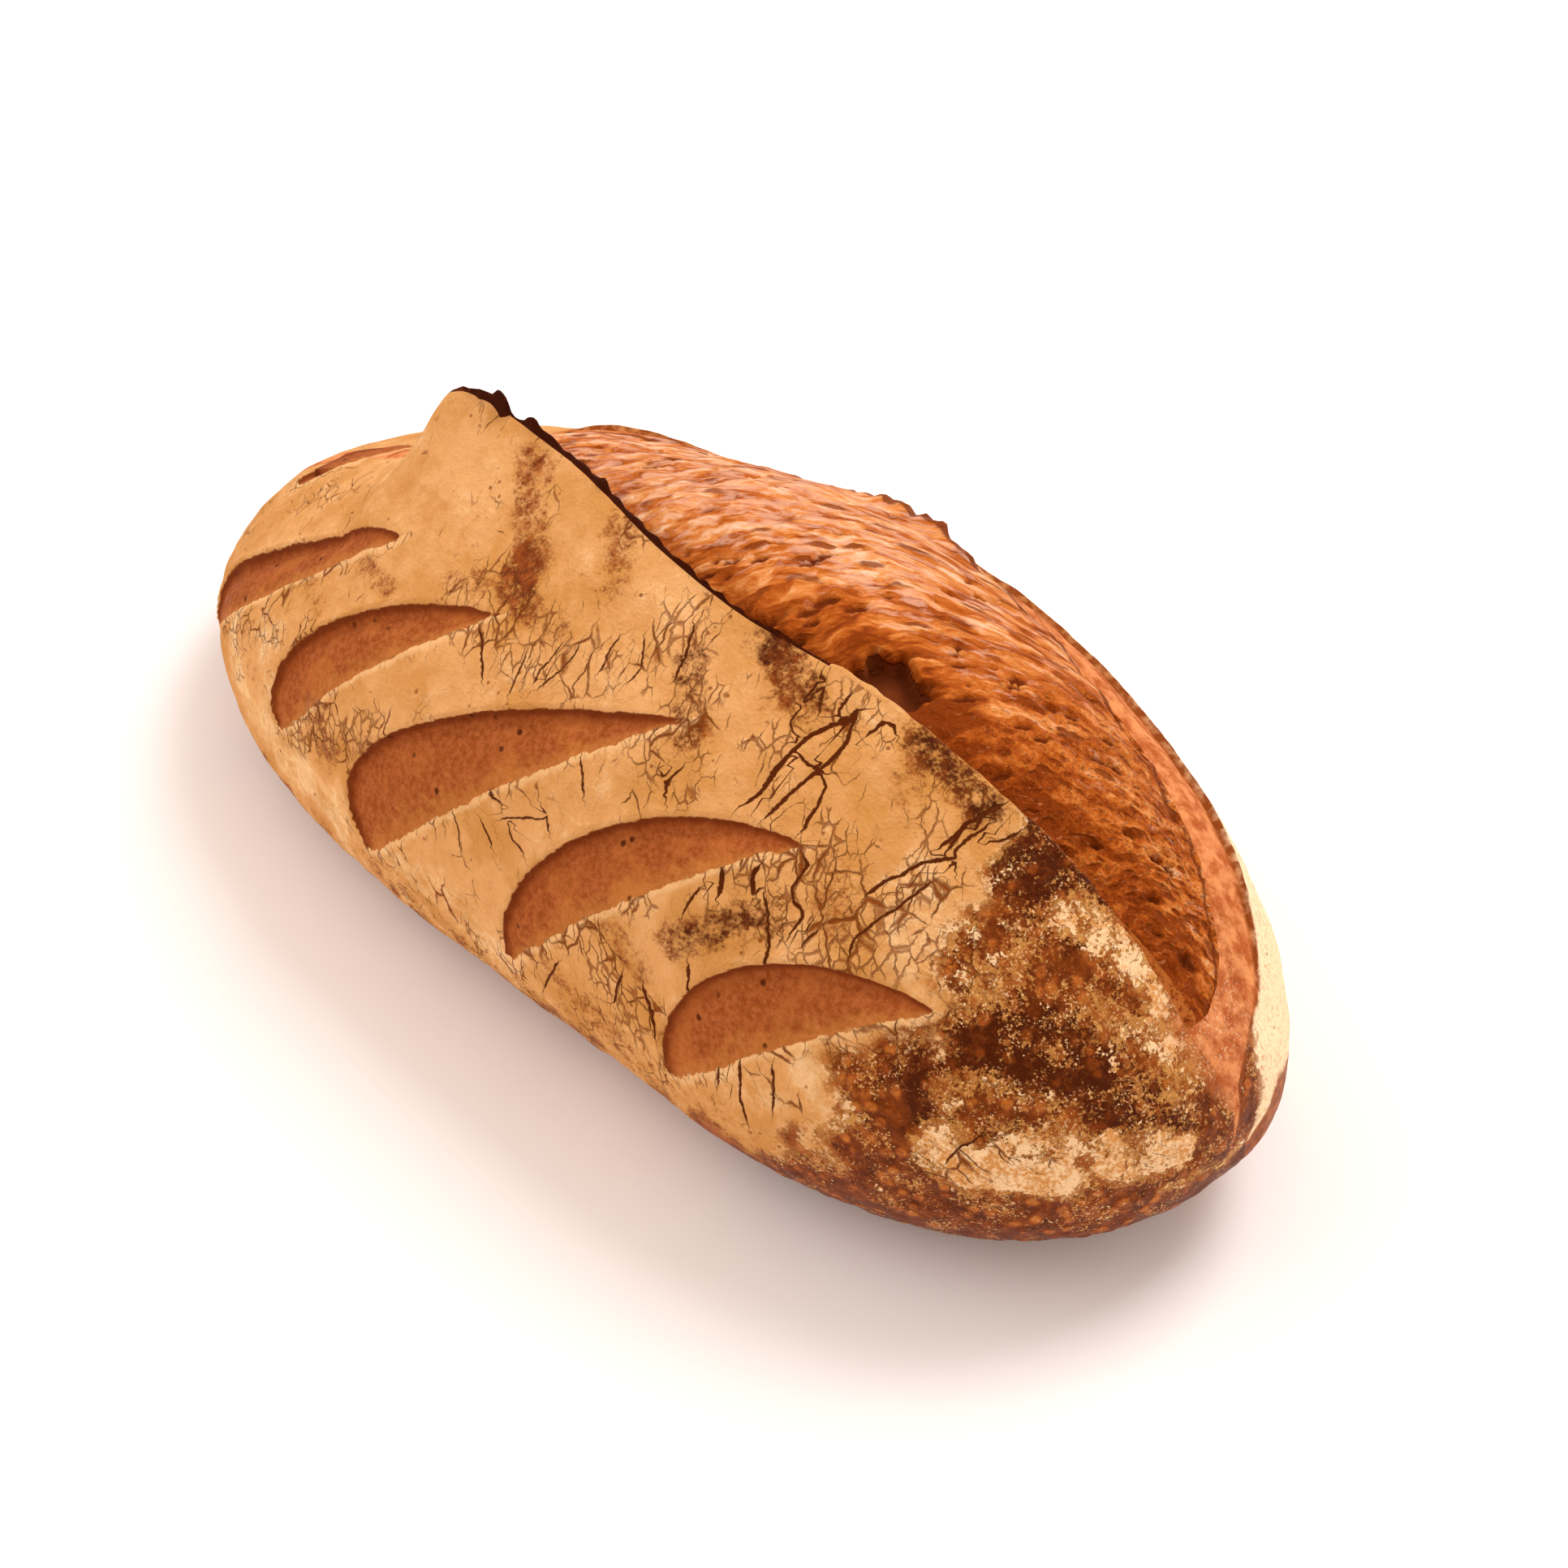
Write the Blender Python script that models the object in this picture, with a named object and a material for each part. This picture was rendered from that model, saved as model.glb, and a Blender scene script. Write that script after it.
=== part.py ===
"""Sourdough batard: one baked body with a raised ear along the score, the torn-open bloom
behind it, six leaf cuts in the crust flank and a flat resting face.

Loaf frame: X along the loaf, -Y the side with the leaf cuts, +Y the side that tore open,
Z up from the resting face.  A station s runs from -1 to 1 along X; an angle goes round each
section from the bottom (-90 degrees) over the -Y side (0), the top (90) and the +Y side (180).
"""

from math import radians

import bmesh
import bpy
import numpy as np
from mathutils import Matrix

# ---- driving dimensions, metres ----
LENGTH = 0.300
BASE_RISE = 0.046          # depth of the underside below the widest line, before the flat base
PLAN_POWER = 2.6           # how bluntly the plan outline closes at the ends
TOP_POWER = 2.8            # how bluntly the top line closes at the ends
SECTION_POWER = 2.15       # superellipse power of the upper section
UNDER_POWER = 2.6          # superellipse power of the under section

# ---- (station, value) knots of the driving curves, metres ----
AXIS_HEIGHT = ((-1, 0.025), (-0.7, 0.030), (-0.3, 0.034), (0, 0.036), (0.5, 0.036), (1, 0.033))
CRUST_SIDE = ((-1, 0.078), (-0.5, 0.077), (0.2, 0.074), (0.6, 0.076), (1, 0.080))
BLOOM_SIDE = ((-1, 0.064), (-0.5, 0.065), (0, 0.067), (0.5, 0.064), (1, 0.068))
CRUST_TOP = ((-1, 0.034), (-0.7, 0.043), (-0.4, 0.054), (0, 0.062), (0.5, 0.062), (1, 0.060))
BLOOM_TOP = ((-1, 0.026), (-0.7, 0.033), (-0.4, 0.042), (0, 0.055), (0.5, 0.055), (1, 0.056))

# ---- ear ----
EAR_OFFSET = ((-0.72, 0.012), (-0.5, 0.010), (-0.25, 0.011), (0, 0.017), (0.15, 0.018),
              (0.35, 0.014), (0.6, 0.011), (0.84, 0.008), (0.95, 0.006))
EAR_LIFT = ((-0.74, 0), (-0.64, 0.003), (-0.57, 0.014), (-0.53, 0.0225), (-0.44, 0.0225),
            (-0.30, 0.0165), (0, 0.0085), (0.35, 0.006), (0.65, 0.0045), (0.84, 0.002), (0.90, 0))
EAR_LIP = 0.0025           # thickness of the crust at the ear's free edge
EAR_UNDERCUT = 0.002       # how far the score runs in below the ear
EAR_START_ANGLE = 38.0     # degrees; the crust starts to lift here
EAR_LIFT_POWER = 2.4
SCORE_START = (-0.64, -0.52)
SCORE_END = (0.80, 0.92)

# ---- bloom ----
GROOVE_DEPTH = ((-0.68, 0), (-0.55, 0.004), (-0.45, 0.008), (0, 0.007), (0.5, 0.006),
                (0.8, 0.003), (0.90, 0))
GROOVE_FALLOFF = 9.0       # degrees
BLOOM_SWELL = 0.003
BLOOM_SPREAD = ((-0.66, 4), (-0.60, 18), (-0.45, 44), (0, 55), (0.3, 55), (0.5, 50), (0.63, 45),
                (0.70, 39), (0.77, 33), (0.82, 24), (0.87, 13), (0.90, 7))
BAND_SPREAD = ((-0.72, 5), (-0.62, 34), (-0.45, 58), (0, 68), (0.5, 66), (0.75, 56), (0.83, 48),
               (0.88, 45), (0.92, 38), (0.95, 24), (0.975, 12))
TORN_STEP = ((-0.60, 0.0012), (-0.18, 0.0012), (-0.06, 0.0030), (0.12, 0.0034), (0.20, 0.0012))
BAND_STEP = 0.0012         # height of the far crust above the smooth band
HOLE_STATION = 0.335       # one burst bubble right behind the ear
HOLE_ANGLE = 90.0
HOLE_RADII = (0.0085, 0.0050, 0.0060)

# ---- leaf cuts: start x mm, start angle, tip x mm, tip angle, width mm, widest at, bow mm ----
LEAF_CUTS = (
    (-140, 45, -104, 86, 15.0, 0.50, 2.0),
    (-122, 2, -64, 61, 25.0, 0.48, 8.0),
    (-74, 8, -25, 58, 21.0, 0.40, 3.0),
    (-37, -2, 29, 60, 22.0, 0.30, 0.0),
    (9, -2, 65, 55, 16.0, 0.48, 0.0),
    (56, -2, 104, 45, 16.5, 0.48, -1.5),
)
GIRTH_RADIUS = 0.070       # girth travelled per radian of section angle
LEAF_DEPTH_UPPER = 0.0034  # step below the crust along the arched edge
LEAF_DEPTH_LOWER = 0.0010  # step along the straight edge
LEAF_BULGE = 0.0008
LEAF_UNDERCUT = 0.0010
LEAF_CLEARANCE = 0.006     # height of the cutter above the crust

# ---- mesh density ----
STATIONS = 60
CRUST_COLUMNS = 30
BLOOM_COLUMNS = 10
BAND_COLUMNS = 3
FAR_COLUMNS = 11
LEAF_STEPS = 16
LEAF_ROWS = 4
MERGE = 0.0001
SMOOTH_ANGLE = radians(35)


def through(station, knots):
    """Smooth curve through (station, value) knots, constant beyond the first and last."""
    knots = np.array(knots, float)
    x, v = knots[:, 0], knots[:, 1]
    slope = np.gradient(v, x)
    station = np.clip(station, x[0], x[-1])
    i = np.clip(np.searchsorted(x, station, side="right") - 1, 0, len(x) - 2)
    h = x[i + 1] - x[i]
    t = (station - x[i]) / h
    start = (2 * t**3 - 3 * t**2 + 1) * v[i] + (t**3 - 2 * t**2 + t) * h * slope[i]
    return start + (3 * t**2 - 2 * t**3) * v[i + 1] + (t**3 - t**2) * h * slope[i + 1]


def ease(value, low, high):
    """0 below low, 1 above high, smooth between."""
    t = np.clip((value - low) / (high - low), 0, 1)
    return t * t * (3 - 2 * t)


def closing(station, power):
    """Factor that closes the loaf smoothly at both ends."""
    return np.sqrt(np.maximum(1 - np.abs(station) ** power, 0))


def squash(value, power):
    return np.sign(value) * np.abs(value) ** (2 / power)


def score_opening(station):
    """1 where the score has torn open, 0 beyond its ends."""
    opening = ease(station, *SCORE_START) * (1 - ease(station, *SCORE_END))
    return np.where(opening < 0.06, 0, opening)


def ear_angle(station):
    """Section angle of the ear's free edge."""
    side = through(station, CRUST_SIDE) * closing(station, PLAN_POWER)
    ratio = np.clip(through(station, EAR_OFFSET) / np.maximum(side, 1e-6), 0, 0.9)
    return np.arccos(ratio ** (SECTION_POWER / 2))


def body(station, angle):
    """Plain loaf surface, before the ear lifts and the bloom opens."""
    c, s = np.cos(angle), np.sin(angle)
    plan = closing(station, PLAN_POWER)
    side = np.where(c > 0, through(station, CRUST_SIDE), through(station, BLOOM_SIDE)) * plan
    far = ease(-c, -0.25, 0.55)
    crown = through(station, CRUST_TOP) * (1 - far) + through(station, BLOOM_TOP) * far
    crown = crown * closing(station, TOP_POWER)
    axis = through(station, AXIS_HEIGHT)
    above = axis + crown * squash(np.maximum(s, 0), SECTION_POWER)
    below = axis - BASE_RISE * closing(station, 3) * np.abs(s) ** (2 / UNDER_POWER)
    x = station * LENGTH / 2 + 0 * angle
    return np.stack([x, -side * squash(c, SECTION_POWER), np.where(s >= 0, above, below)], -1)


def crust(station, angle):
    """Floured flank, rising into the ear."""
    points = body(station, angle)
    start = np.radians(EAR_START_ANGLE)
    climb = np.clip((angle - start) / (ear_angle(station) - start), 0, 1)
    points[..., 2] += through(station, EAR_LIFT) * climb**EAR_LIFT_POWER
    return points


def bloom(station, angle, proud):
    """Torn side: a groove behind the ear, then a swelling; proud lifts the skin outwards."""
    points = body(station, angle)
    past = np.degrees(angle - ear_angle(station))
    opening = score_opening(station)
    swell = opening * BLOOM_SWELL * np.exp(-(((past - 32) / 24) ** 2))
    groove = through(station, GROOVE_DEPTH) * np.exp(-np.maximum(past - 4, 0) / GROOVE_FALLOFF)
    points[..., 2] += swell - groove
    points[..., 1] -= np.cos(angle) * proud
    points[..., 2] += np.sin(angle) * proud
    return points


def section_columns(station):
    """Points of one ring, from the bottom over the crust, the ear, the bloom and back."""
    s = station[:, None]
    ear = ear_angle(s)
    opening = score_opening(s)
    spread = np.radians(through(s, BLOOM_SPREAD))
    band = np.radians(through(s, BAND_SPREAD))
    torn_step = opening * through(s, TORN_STEP)
    band_step = opening * BAND_STEP

    bottom = -np.pi / 2
    share = np.linspace(0, 1, CRUST_COLUMNS)[None, :]
    flank = crust(s + 0 * share, bottom + (ear - bottom) * share)
    edge = flank[:, -1:]
    behind = edge + opening[..., None] * EAR_LIP * np.array([0, 1, -0.15])

    first = ear + np.minimum(np.radians(5), spread * 0.5)
    share = np.linspace(0, 1, BLOOM_COLUMNS)[None, :]
    torn = bloom(s + 0 * share, first + (ear + spread - first) * share, torn_step * share)
    inner = ear + spread + np.radians(1.4)
    outer = ear + np.maximum(band, spread + np.radians(6))
    share = np.linspace(0, 1, BAND_COLUMNS)[None, :]
    smooth = bloom(s + 0 * share, inner + (outer - inner) * share, 0)
    last = outer + np.radians(1.4)
    share = np.linspace(0, 1, FAR_COLUMNS + 1)[None, :-1]
    far = bloom(s + 0 * share, last + (1.5 * np.pi - last) * share, band_step * (1 - share) ** 2)

    pocket = torn[:, :1] - opening[..., None] * EAR_UNDERCUT * np.array([0, 1, 0.25])
    under = 0.5 * (behind + pocket) - opening[..., None] * np.array([0, 0.0008, 0])
    return np.concatenate([flank, behind, under, pocket, torn, smooth, far], 1)


def build_body():
    """Rings of points skinned into a closed surface, cut flat where the loaf rests."""
    station = -np.cos(np.pi * np.arange(1, STATIONS) / STATIONS)
    rings = section_columns(station)
    mesh = bmesh.new()
    grid = [[mesh.verts.new(point) for point in ring] for ring in rings]
    columns = len(grid[0])
    for near, far in zip(grid, grid[1:]):
        for j in range(columns):
            k = (j + 1) % columns
            mesh.faces.new((near[j], near[k], far[k], far[j]))
    for ring, end in ((grid[0], -1), (grid[-1], 1)):
        pole = mesh.verts.new((end * LENGTH / 2, 0, through(end, AXIS_HEIGHT)))
        for j in range(columns):
            mesh.faces.new((ring[j], ring[(j + 1) % columns], pole))
    bmesh.ops.remove_doubles(mesh, verts=mesh.verts, dist=MERGE)
    bmesh.ops.recalc_face_normals(mesh, faces=mesh.faces)
    return finish_mesh(mesh, "loaf")


def leaf_shape(t, widest):
    """Width of a leaf cut along its length: blunt start, long thin tip, 1 at the widest."""
    rise = (t / widest) ** (1.6 * widest)
    return rise * ((1 - t) / (1 - widest)) ** (1.6 * (1 - widest))


def leaf_point(x, girth, lift):
    """Point on the crust flank, moved lift along the outward normal."""
    s = x / (LENGTH / 2)
    angle = girth / GIRTH_RADIUS
    point = crust(s, angle)
    along = crust(s + 0.01, angle) - crust(s - 0.01, angle)
    around = crust(s, angle + 0.01) - crust(s, angle - 0.01)
    normal = np.cross(along, around)
    normal /= np.linalg.norm(normal, axis=-1, keepdims=True)
    from_axis = point - point * (1, 0, 0) - (0, 0, 0.036)
    outward = np.sign(np.sum(normal * from_axis, -1, keepdims=True))
    return point + normal * outward * lift[..., None]


def build_leaf_cutter(cut):
    """Closed lens-shaped body whose lower face is the floor of the leaf cut."""
    start_x, start_angle, tip_x, tip_angle, width, widest, bow = cut
    start = np.array([start_x / 1000, GIRTH_RADIUS * np.radians(start_angle)])
    tip = np.array([tip_x / 1000, GIRTH_RADIUS * np.radians(tip_angle)])
    chord = tip - start
    across = np.array([-chord[1], chord[0]]) / np.linalg.norm(chord)
    t = (0.5 - 0.5 * np.cos(np.linspace(0, np.pi, LEAF_STEPS + 1)))[:, None]
    w = np.linspace(0, 1, LEAF_ROWS + 1)[None, :]
    lower = bow / 1000 * 4 * t * (1 - t)
    upper = width / 1000 * leaf_shape(t, widest)
    taper = 0.35 + 0.65 * np.sin(np.pi * t) ** 0.5
    depth = LEAF_DEPTH_LOWER + (LEAF_DEPTH_UPPER - LEAF_DEPTH_LOWER) * w**1.5
    depth = (depth - LEAF_BULGE * 4 * w * (1 - w)) * taper
    mesh = bmesh.new()
    layers = []
    for lift, undercut in ((LEAF_CLEARANCE + 0 * depth, 0), (-depth, LEAF_UNDERCUT)):
        offset = lower + (upper - lower) * w + undercut * taper * w**4 * np.sin(np.pi * t)
        x = start[0] + chord[0] * t + across[0] * offset
        girth = start[1] + chord[1] * t + across[1] * offset
        points = leaf_point(x, girth, lift)
        rows = [[mesh.verts.new(p) for p in row] for row in points[1:-1]]
        ends = [[mesh.verts.new(points[i, 0])] * (LEAF_ROWS + 1) for i in (0, -1)]
        layers.append([ends[0]] + rows + [ends[1]])
    top, floor = layers
    for i in range(LEAF_STEPS):
        for j in range(LEAF_ROWS):
            add_face(mesh, top[i][j], top[i + 1][j], top[i + 1][j + 1], top[i][j + 1])
            add_face(mesh, floor[i][j], floor[i][j + 1], floor[i + 1][j + 1], floor[i + 1][j])
        for j in (0, LEAF_ROWS):
            add_face(mesh, top[i][j], floor[i][j], floor[i + 1][j], top[i + 1][j])
    bmesh.ops.recalc_face_normals(mesh, faces=mesh.faces)
    return finish_mesh(mesh, "leaf_cutter")


def build_hole_cutter():
    """Ellipsoid for the burst bubble, centred on the bloom surface."""
    mesh = bmesh.new()
    bmesh.ops.create_icosphere(mesh, subdivisions=3, radius=1)
    station = np.array([HOLE_STATION])
    centre = bloom(station, np.radians([HOLE_ANGLE]), 0)[0]
    for vertex in mesh.verts:
        vertex.co = centre + np.array(vertex.co) * HOLE_RADII
    return finish_mesh(mesh, "hole_cutter")


def add_face(mesh, *corners):
    """Face through the corners, a triangle where two of them are one vertex."""
    mesh.faces.new(dict.fromkeys(corners))


def finish_mesh(mesh, name):
    data = bpy.data.meshes.new(name)
    mesh.to_mesh(data)
    mesh.free()
    obj = bpy.data.objects.new(name, data)
    bpy.context.collection.objects.link(obj)
    return obj


def subtract(target, cutter):
    modifier = target.modifiers.new("cut", "BOOLEAN")
    modifier.operation = "DIFFERENCE"
    modifier.solver = "EXACT"
    modifier.object = cutter
    bpy.ops.object.select_all(action="DESELECT")
    bpy.context.view_layer.objects.active = target
    target.select_set(True)
    bpy.ops.object.modifier_apply(modifier=modifier.name)
    bpy.data.objects.remove(cutter, do_unlink=True)


def flatten_base(obj):
    """Cut the body off at z = 0 and close it with one flat resting face."""
    mesh = bmesh.new()
    mesh.from_mesh(obj.data)
    everything = mesh.verts[:] + mesh.edges[:] + mesh.faces[:]
    bmesh.ops.bisect_plane(mesh, geom=everything, dist=1e-6, plane_co=(0, 0, 0),
                           plane_no=(0, 0, 1), clear_inner=True)
    bmesh.ops.remove_doubles(mesh, verts=mesh.verts, dist=MERGE)
    rim = [edge for edge in mesh.edges if edge.is_boundary]
    bmesh.ops.holes_fill(mesh, edges=rim, sides=0)
    bmesh.ops.recalc_face_normals(mesh, faces=mesh.faces)
    for face in mesh.faces:
        face.smooth = True
    for line in mesh.edges:
        line.smooth = line.calc_face_angle() < SMOOTH_ANGLE
    mesh.to_mesh(obj.data)
    mesh.free()


def centre_on_base(obj):
    """Move the mesh so that the middle of its bounding box stands over the origin."""
    corners = np.array(obj.bound_box)
    middle = 0.5 * (corners.min(0) + corners.max(0))
    obj.data.transform(Matrix.Translation((-middle[0], -middle[1], 0)))


def crust_material():
    material = bpy.data.materials.new("floured baked crust")
    material.use_nodes = True
    shader = material.node_tree.nodes["Principled BSDF"]
    shader.inputs["Base Color"].default_value = (0.56, 0.26, 0.09, 1)
    shader.inputs["Roughness"].default_value = 0.85
    shader.inputs["Metallic"].default_value = 0.0
    return material


for old in list(bpy.data.objects):
    bpy.data.objects.remove(old, do_unlink=True)

loaf = build_body()
for leaf in LEAF_CUTS:
    subtract(loaf, build_leaf_cutter(leaf))
subtract(loaf, build_hole_cutter())
flatten_base(loaf)
centre_on_base(loaf)
loaf.data.materials.clear()
loaf.data.materials.append(crust_material())
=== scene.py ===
from functools import partial
from math import cos, pi, radians, sin

import bpy
import numpy as np
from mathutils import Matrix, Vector, noise


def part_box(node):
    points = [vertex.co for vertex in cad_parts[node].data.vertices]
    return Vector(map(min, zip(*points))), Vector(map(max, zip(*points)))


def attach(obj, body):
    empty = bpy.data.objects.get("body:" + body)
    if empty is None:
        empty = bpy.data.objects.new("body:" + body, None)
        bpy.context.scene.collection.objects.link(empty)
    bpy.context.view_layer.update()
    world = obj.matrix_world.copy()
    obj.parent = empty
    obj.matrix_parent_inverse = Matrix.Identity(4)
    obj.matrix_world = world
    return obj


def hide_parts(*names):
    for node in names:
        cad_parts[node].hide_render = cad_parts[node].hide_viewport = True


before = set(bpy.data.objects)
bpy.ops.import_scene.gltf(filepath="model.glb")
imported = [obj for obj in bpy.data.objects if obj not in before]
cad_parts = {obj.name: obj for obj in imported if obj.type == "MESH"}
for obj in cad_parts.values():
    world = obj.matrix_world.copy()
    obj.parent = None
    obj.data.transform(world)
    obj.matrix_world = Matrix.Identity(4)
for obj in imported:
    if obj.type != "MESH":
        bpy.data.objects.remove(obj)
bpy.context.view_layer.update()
print("frame loaded")

# the loaf's own measures in metres: x along it, -y the leaf-cut flank, +y the side that tore open
# angles go round each section: -90 underneath, 0 flank, 90 on top, 180 far side
# curves are (station, value) knots, stations run -1..1 along the loaf
loaf = {
    "planPower": ((-1, 2.9), (-0.4, 2.7), (0.2, 2.6), (1, 2.6)),
    "topPower": 2.8,
    "sectionPower": 2.15,
    "underPower": 2.6,
    "baseRise": 0.046,
    "axisHeight": ((-1, 0.025), (-0.7, 0.030), (-0.3, 0.034), (0, 0.036), (0.5, 0.036), (1, 0.033)),
    "crustSide": ((-1, 0.079), (-0.6, 0.077), (-0.3, 0.0755), (0.2, 0.073), (0.6, 0.0765), (1, 0.083)),
    "bloomSide": ((-1, 0.064), (-0.5, 0.064), (0, 0.0665), (0.3, 0.0675), (0.6, 0.0635), (1, 0.0635)),
    "crustTop": ((-1, 0.034), (-0.7, 0.043), (-0.4, 0.054), (0, 0.062), (0.5, 0.062), (1, 0.060)),
    "bloomTop": ((-1, 0.026), (-0.7, 0.033), (-0.4, 0.042), (0, 0.055), (0.5, 0.055), (1, 0.056)),
    "girthRadius": 0.070,  # girth travelled per radian
    "baseBelow": 0.0016,  # faces lower than this are hearth-baked base
    "rings": 328,
}

ear = {
    "offset": ((-0.72, 0.012), (-0.5, 0.010), (-0.25, 0.011), (0, 0.017), (0.15, 0.018),
               (0.35, 0.014), (0.6, 0.011), (0.84, 0.008), (0.95, 0.006)),
    "lift": ((-0.76, 0), (-0.66, 0.0025), (-0.585, 0.0100), (-0.53, 0.0222), (-0.505, 0.0240),
             (-0.44, 0.0228), (-0.30, 0.0166), (0, 0.0085), (0.35, 0.006), (0.65, 0.0045),
             (0.84, 0.002), (0.90, 0)),
    "liftFrom": radians(38),
    "liftPower": 2.4,
    "thickness": 0.0011,
    "edgeRound": ((0.30, 0.10), (0.75, 0.05), (1.0, -0.30), (0.92, -0.80)),  # out, up, in thicknesses
    "hollow": (0.0022, 0.16),  # least depth, and share of the drop behind the edge
    "jag": 0.0014,  # how tall the charred edge is torn
    "opens": (-0.64, -0.52),
    "closes": (0.80, 0.92),
    "burntBits": ((-67, 2.0, 3.5), (-61, 3.4, 2.8), (-51, 2.4, 2.4), (-43, 1.3, 3.0)),  # x, tall, wide mm
    "charredTo": 0.3,  # past this station the edge stays floured
    "singed": ((-0.70, 0), (-0.56, 0.6), (-0.40, 1), (0.20, 1), (0.34, 0.55), (0.42, 0.2), (0.62, 0.25),
               (0.68, 0.9), (0.72, 0.9), (0.78, 0.1), (0.9, 0)),
}

bloom = {
    "groove": ((-0.68, 0), (-0.55, 0.003), (-0.45, 0.005), (0, 0.005), (0.5, 0.005), (0.7, 0.0035),
               (0.82, 0.0008), (0.90, 0)),
    "grooveFalloff": 9.0,  # degrees
    "swell": 0.003,
    "endsAt": 0.912,  # station
    "tornSpread": ((-0.66, 4), (-0.60, 18), (-0.45, 44), (0, 55), (0.3, 55), (0.5, 50), (0.63, 45),
                   (0.70, 40), (0.77, 35), (0.82, 29), (0.87, 22), (0.895, 15), (0.91, 7)),
    "bandSpread": ((-0.72, 5), (-0.62, 34), (-0.45, 58), (0, 68), (0.5, 66), (0.75, 56), (0.83, 48),
                   (0.88, 45), (0.92, 38), (0.95, 24), (0.975, 12)),
    "tornStep": ((-0.60, 0.0012), (-0.18, 0.0012), (-0.06, 0.0030), (0.12, 0.0034), (0.22, 0.0008),
                 (0.45, -0.0013), (0.85, -0.0010)),
    "bandStep": 0.0018,
    "palerAlong": ((-100, 0.10), (-60, 0.10), (-20, 0.12), (20, 0.10), (60, 0.02), (100, -0.03),
                   (140, 0.03)),  # by x in mm
}

leaf = {
    # start x mm, angle, tip x mm, angle, width mm, share of length at the widest, bow mm
    "cuts": (
        (-131, 68, -106, 93, 11.0, 0.50, 2.0),
        (-122, 2, -64, 61, 25.0, 0.48, 8.0),
        (-74, 8, -25, 58, 21.0, 0.40, 3.0),
        (-37, -2, 29, 60, 22.0, 0.30, 0.0),
        (9, -2, 65, 55, 16.0, 0.48, 0.0),
        (56, -2, 104, 45, 16.5, 0.48, -1.5),
    ),
    "heel": 0.0024,  # how far the rounded heel hangs below the straight edge
    "archPower": 1.6,  # higher makes the arch more pointed
    "depth": 1.0,  # mm at the lower edge
    "undercut": 2.3,  # mm deeper at the arched edge
    "belly": 0.8,  # mm the floor domes up in the middle
    "lips": (0.7, 0.25),  # mm the crust stands up along the arch and elsewhere
}

low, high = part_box("loaf")
halfLength = (high.x - low.x) / 2


def through(value, knots):
    # smooth curve through the knots, level beyond both ends
    knots = np.array(knots, float)
    x, v = knots[:, 0], knots[:, 1]
    slope = np.gradient(v, x)
    value = np.clip(value, x[0], x[-1])
    i = np.clip(np.searchsorted(x, value, side="right") - 1, 0, len(x) - 2)
    h = x[i + 1] - x[i]
    t = (value - x[i]) / h
    start = (2 * t**3 - 3 * t**2 + 1) * v[i] + (t**3 - 2 * t**2 + t) * h * slope[i]
    return start + (3 * t**2 - 2 * t**3) * v[i + 1] + (t**3 - t**2) * h * slope[i + 1]


def ease(value, start, end):
    t = np.clip((value - start) / (end - start), 0, 1)
    return t * t * (3 - 2 * t)


def closing(station, power):
    return np.sqrt(np.maximum(1 - np.abs(station) ** power, 0))


def squash(value, power):
    return np.sign(value) * np.abs(value) ** (2 / power)


def scoreOpening(station):
    return ease(station, *ear["opens"]) * (1 - ease(station, *ear["closes"]))


def earAngle(station):
    side = through(station, loaf["crustSide"]) * closing(station, through(station, loaf["planPower"]))
    ratio = np.clip(through(station, ear["offset"]) / np.maximum(side, 1e-6), 0, 0.9)
    return np.arccos(ratio ** (loaf["sectionPower"] / 2))


def bodyPoint(station, angle):
    c, s = np.cos(angle), np.sin(angle)
    side = np.where(c > 0, through(station, loaf["crustSide"]), through(station, loaf["bloomSide"]))
    far = ease(-c, -0.25, 0.55)
    crown = through(station, loaf["crustTop"]) * (1 - far) + through(station, loaf["bloomTop"]) * far
    axis = through(station, loaf["axisHeight"])
    up = axis + crown * closing(station, loaf["topPower"]) * squash(np.maximum(s, 0), loaf["sectionPower"])
    down = axis - loaf["baseRise"] * closing(station, 3) * np.abs(s) ** (2 / loaf["underPower"])
    y = -side * closing(station, through(station, loaf["planPower"])) * squash(c, loaf["sectionPower"])
    return np.stack([station * halfLength + 0 * angle, y, np.where(s >= 0, up, down)], -1)


def crustPoint(station, angle):
    points = bodyPoint(station, angle)
    climb = np.clip((angle - ear["liftFrom"]) / (earAngle(station) - ear["liftFrom"]), 0, 1)
    points[..., 2] += through(station, ear["lift"]) * climb ** ear["liftPower"]
    return points


def bloomPoint(station, angle, proud):
    points = bodyPoint(station, angle)
    past = np.degrees(angle - earAngle(station))
    swell = scoreOpening(station) * bloom["swell"] * np.exp(-(((past - 32) / 24) ** 2))
    groove = through(station, bloom["groove"]) * np.exp(-np.maximum(past - 4, 0) / bloom["grooveFalloff"])
    points[..., 2] += swell - groove + np.sin(angle) * proud
    points[..., 1] -= np.cos(angle) * proud
    return points


def lumps(points, size, shift=0.0, octaves=1):
    # soft bumps about size metres across, -1..1
    cells = np.asarray(points, float).reshape(-1, 3) / size + shift
    if octaves == 1:
        made = [noise.noise(p) for p in cells]
    else:
        made = [noise.fractal(p, 0.9, 2.1, octaves) for p in cells]
    return np.array(made).reshape(np.shape(points)[:-1])


def cellDistance(points, size, shift=0.0):
    # distance to the middle of the nearest cell, in cells
    cells = np.asarray(points, float).reshape(-1, 3) / size + shift
    return np.array([noise.voronoi(p)[0][0] for p in cells]).reshape(np.shape(points)[:-1])


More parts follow.
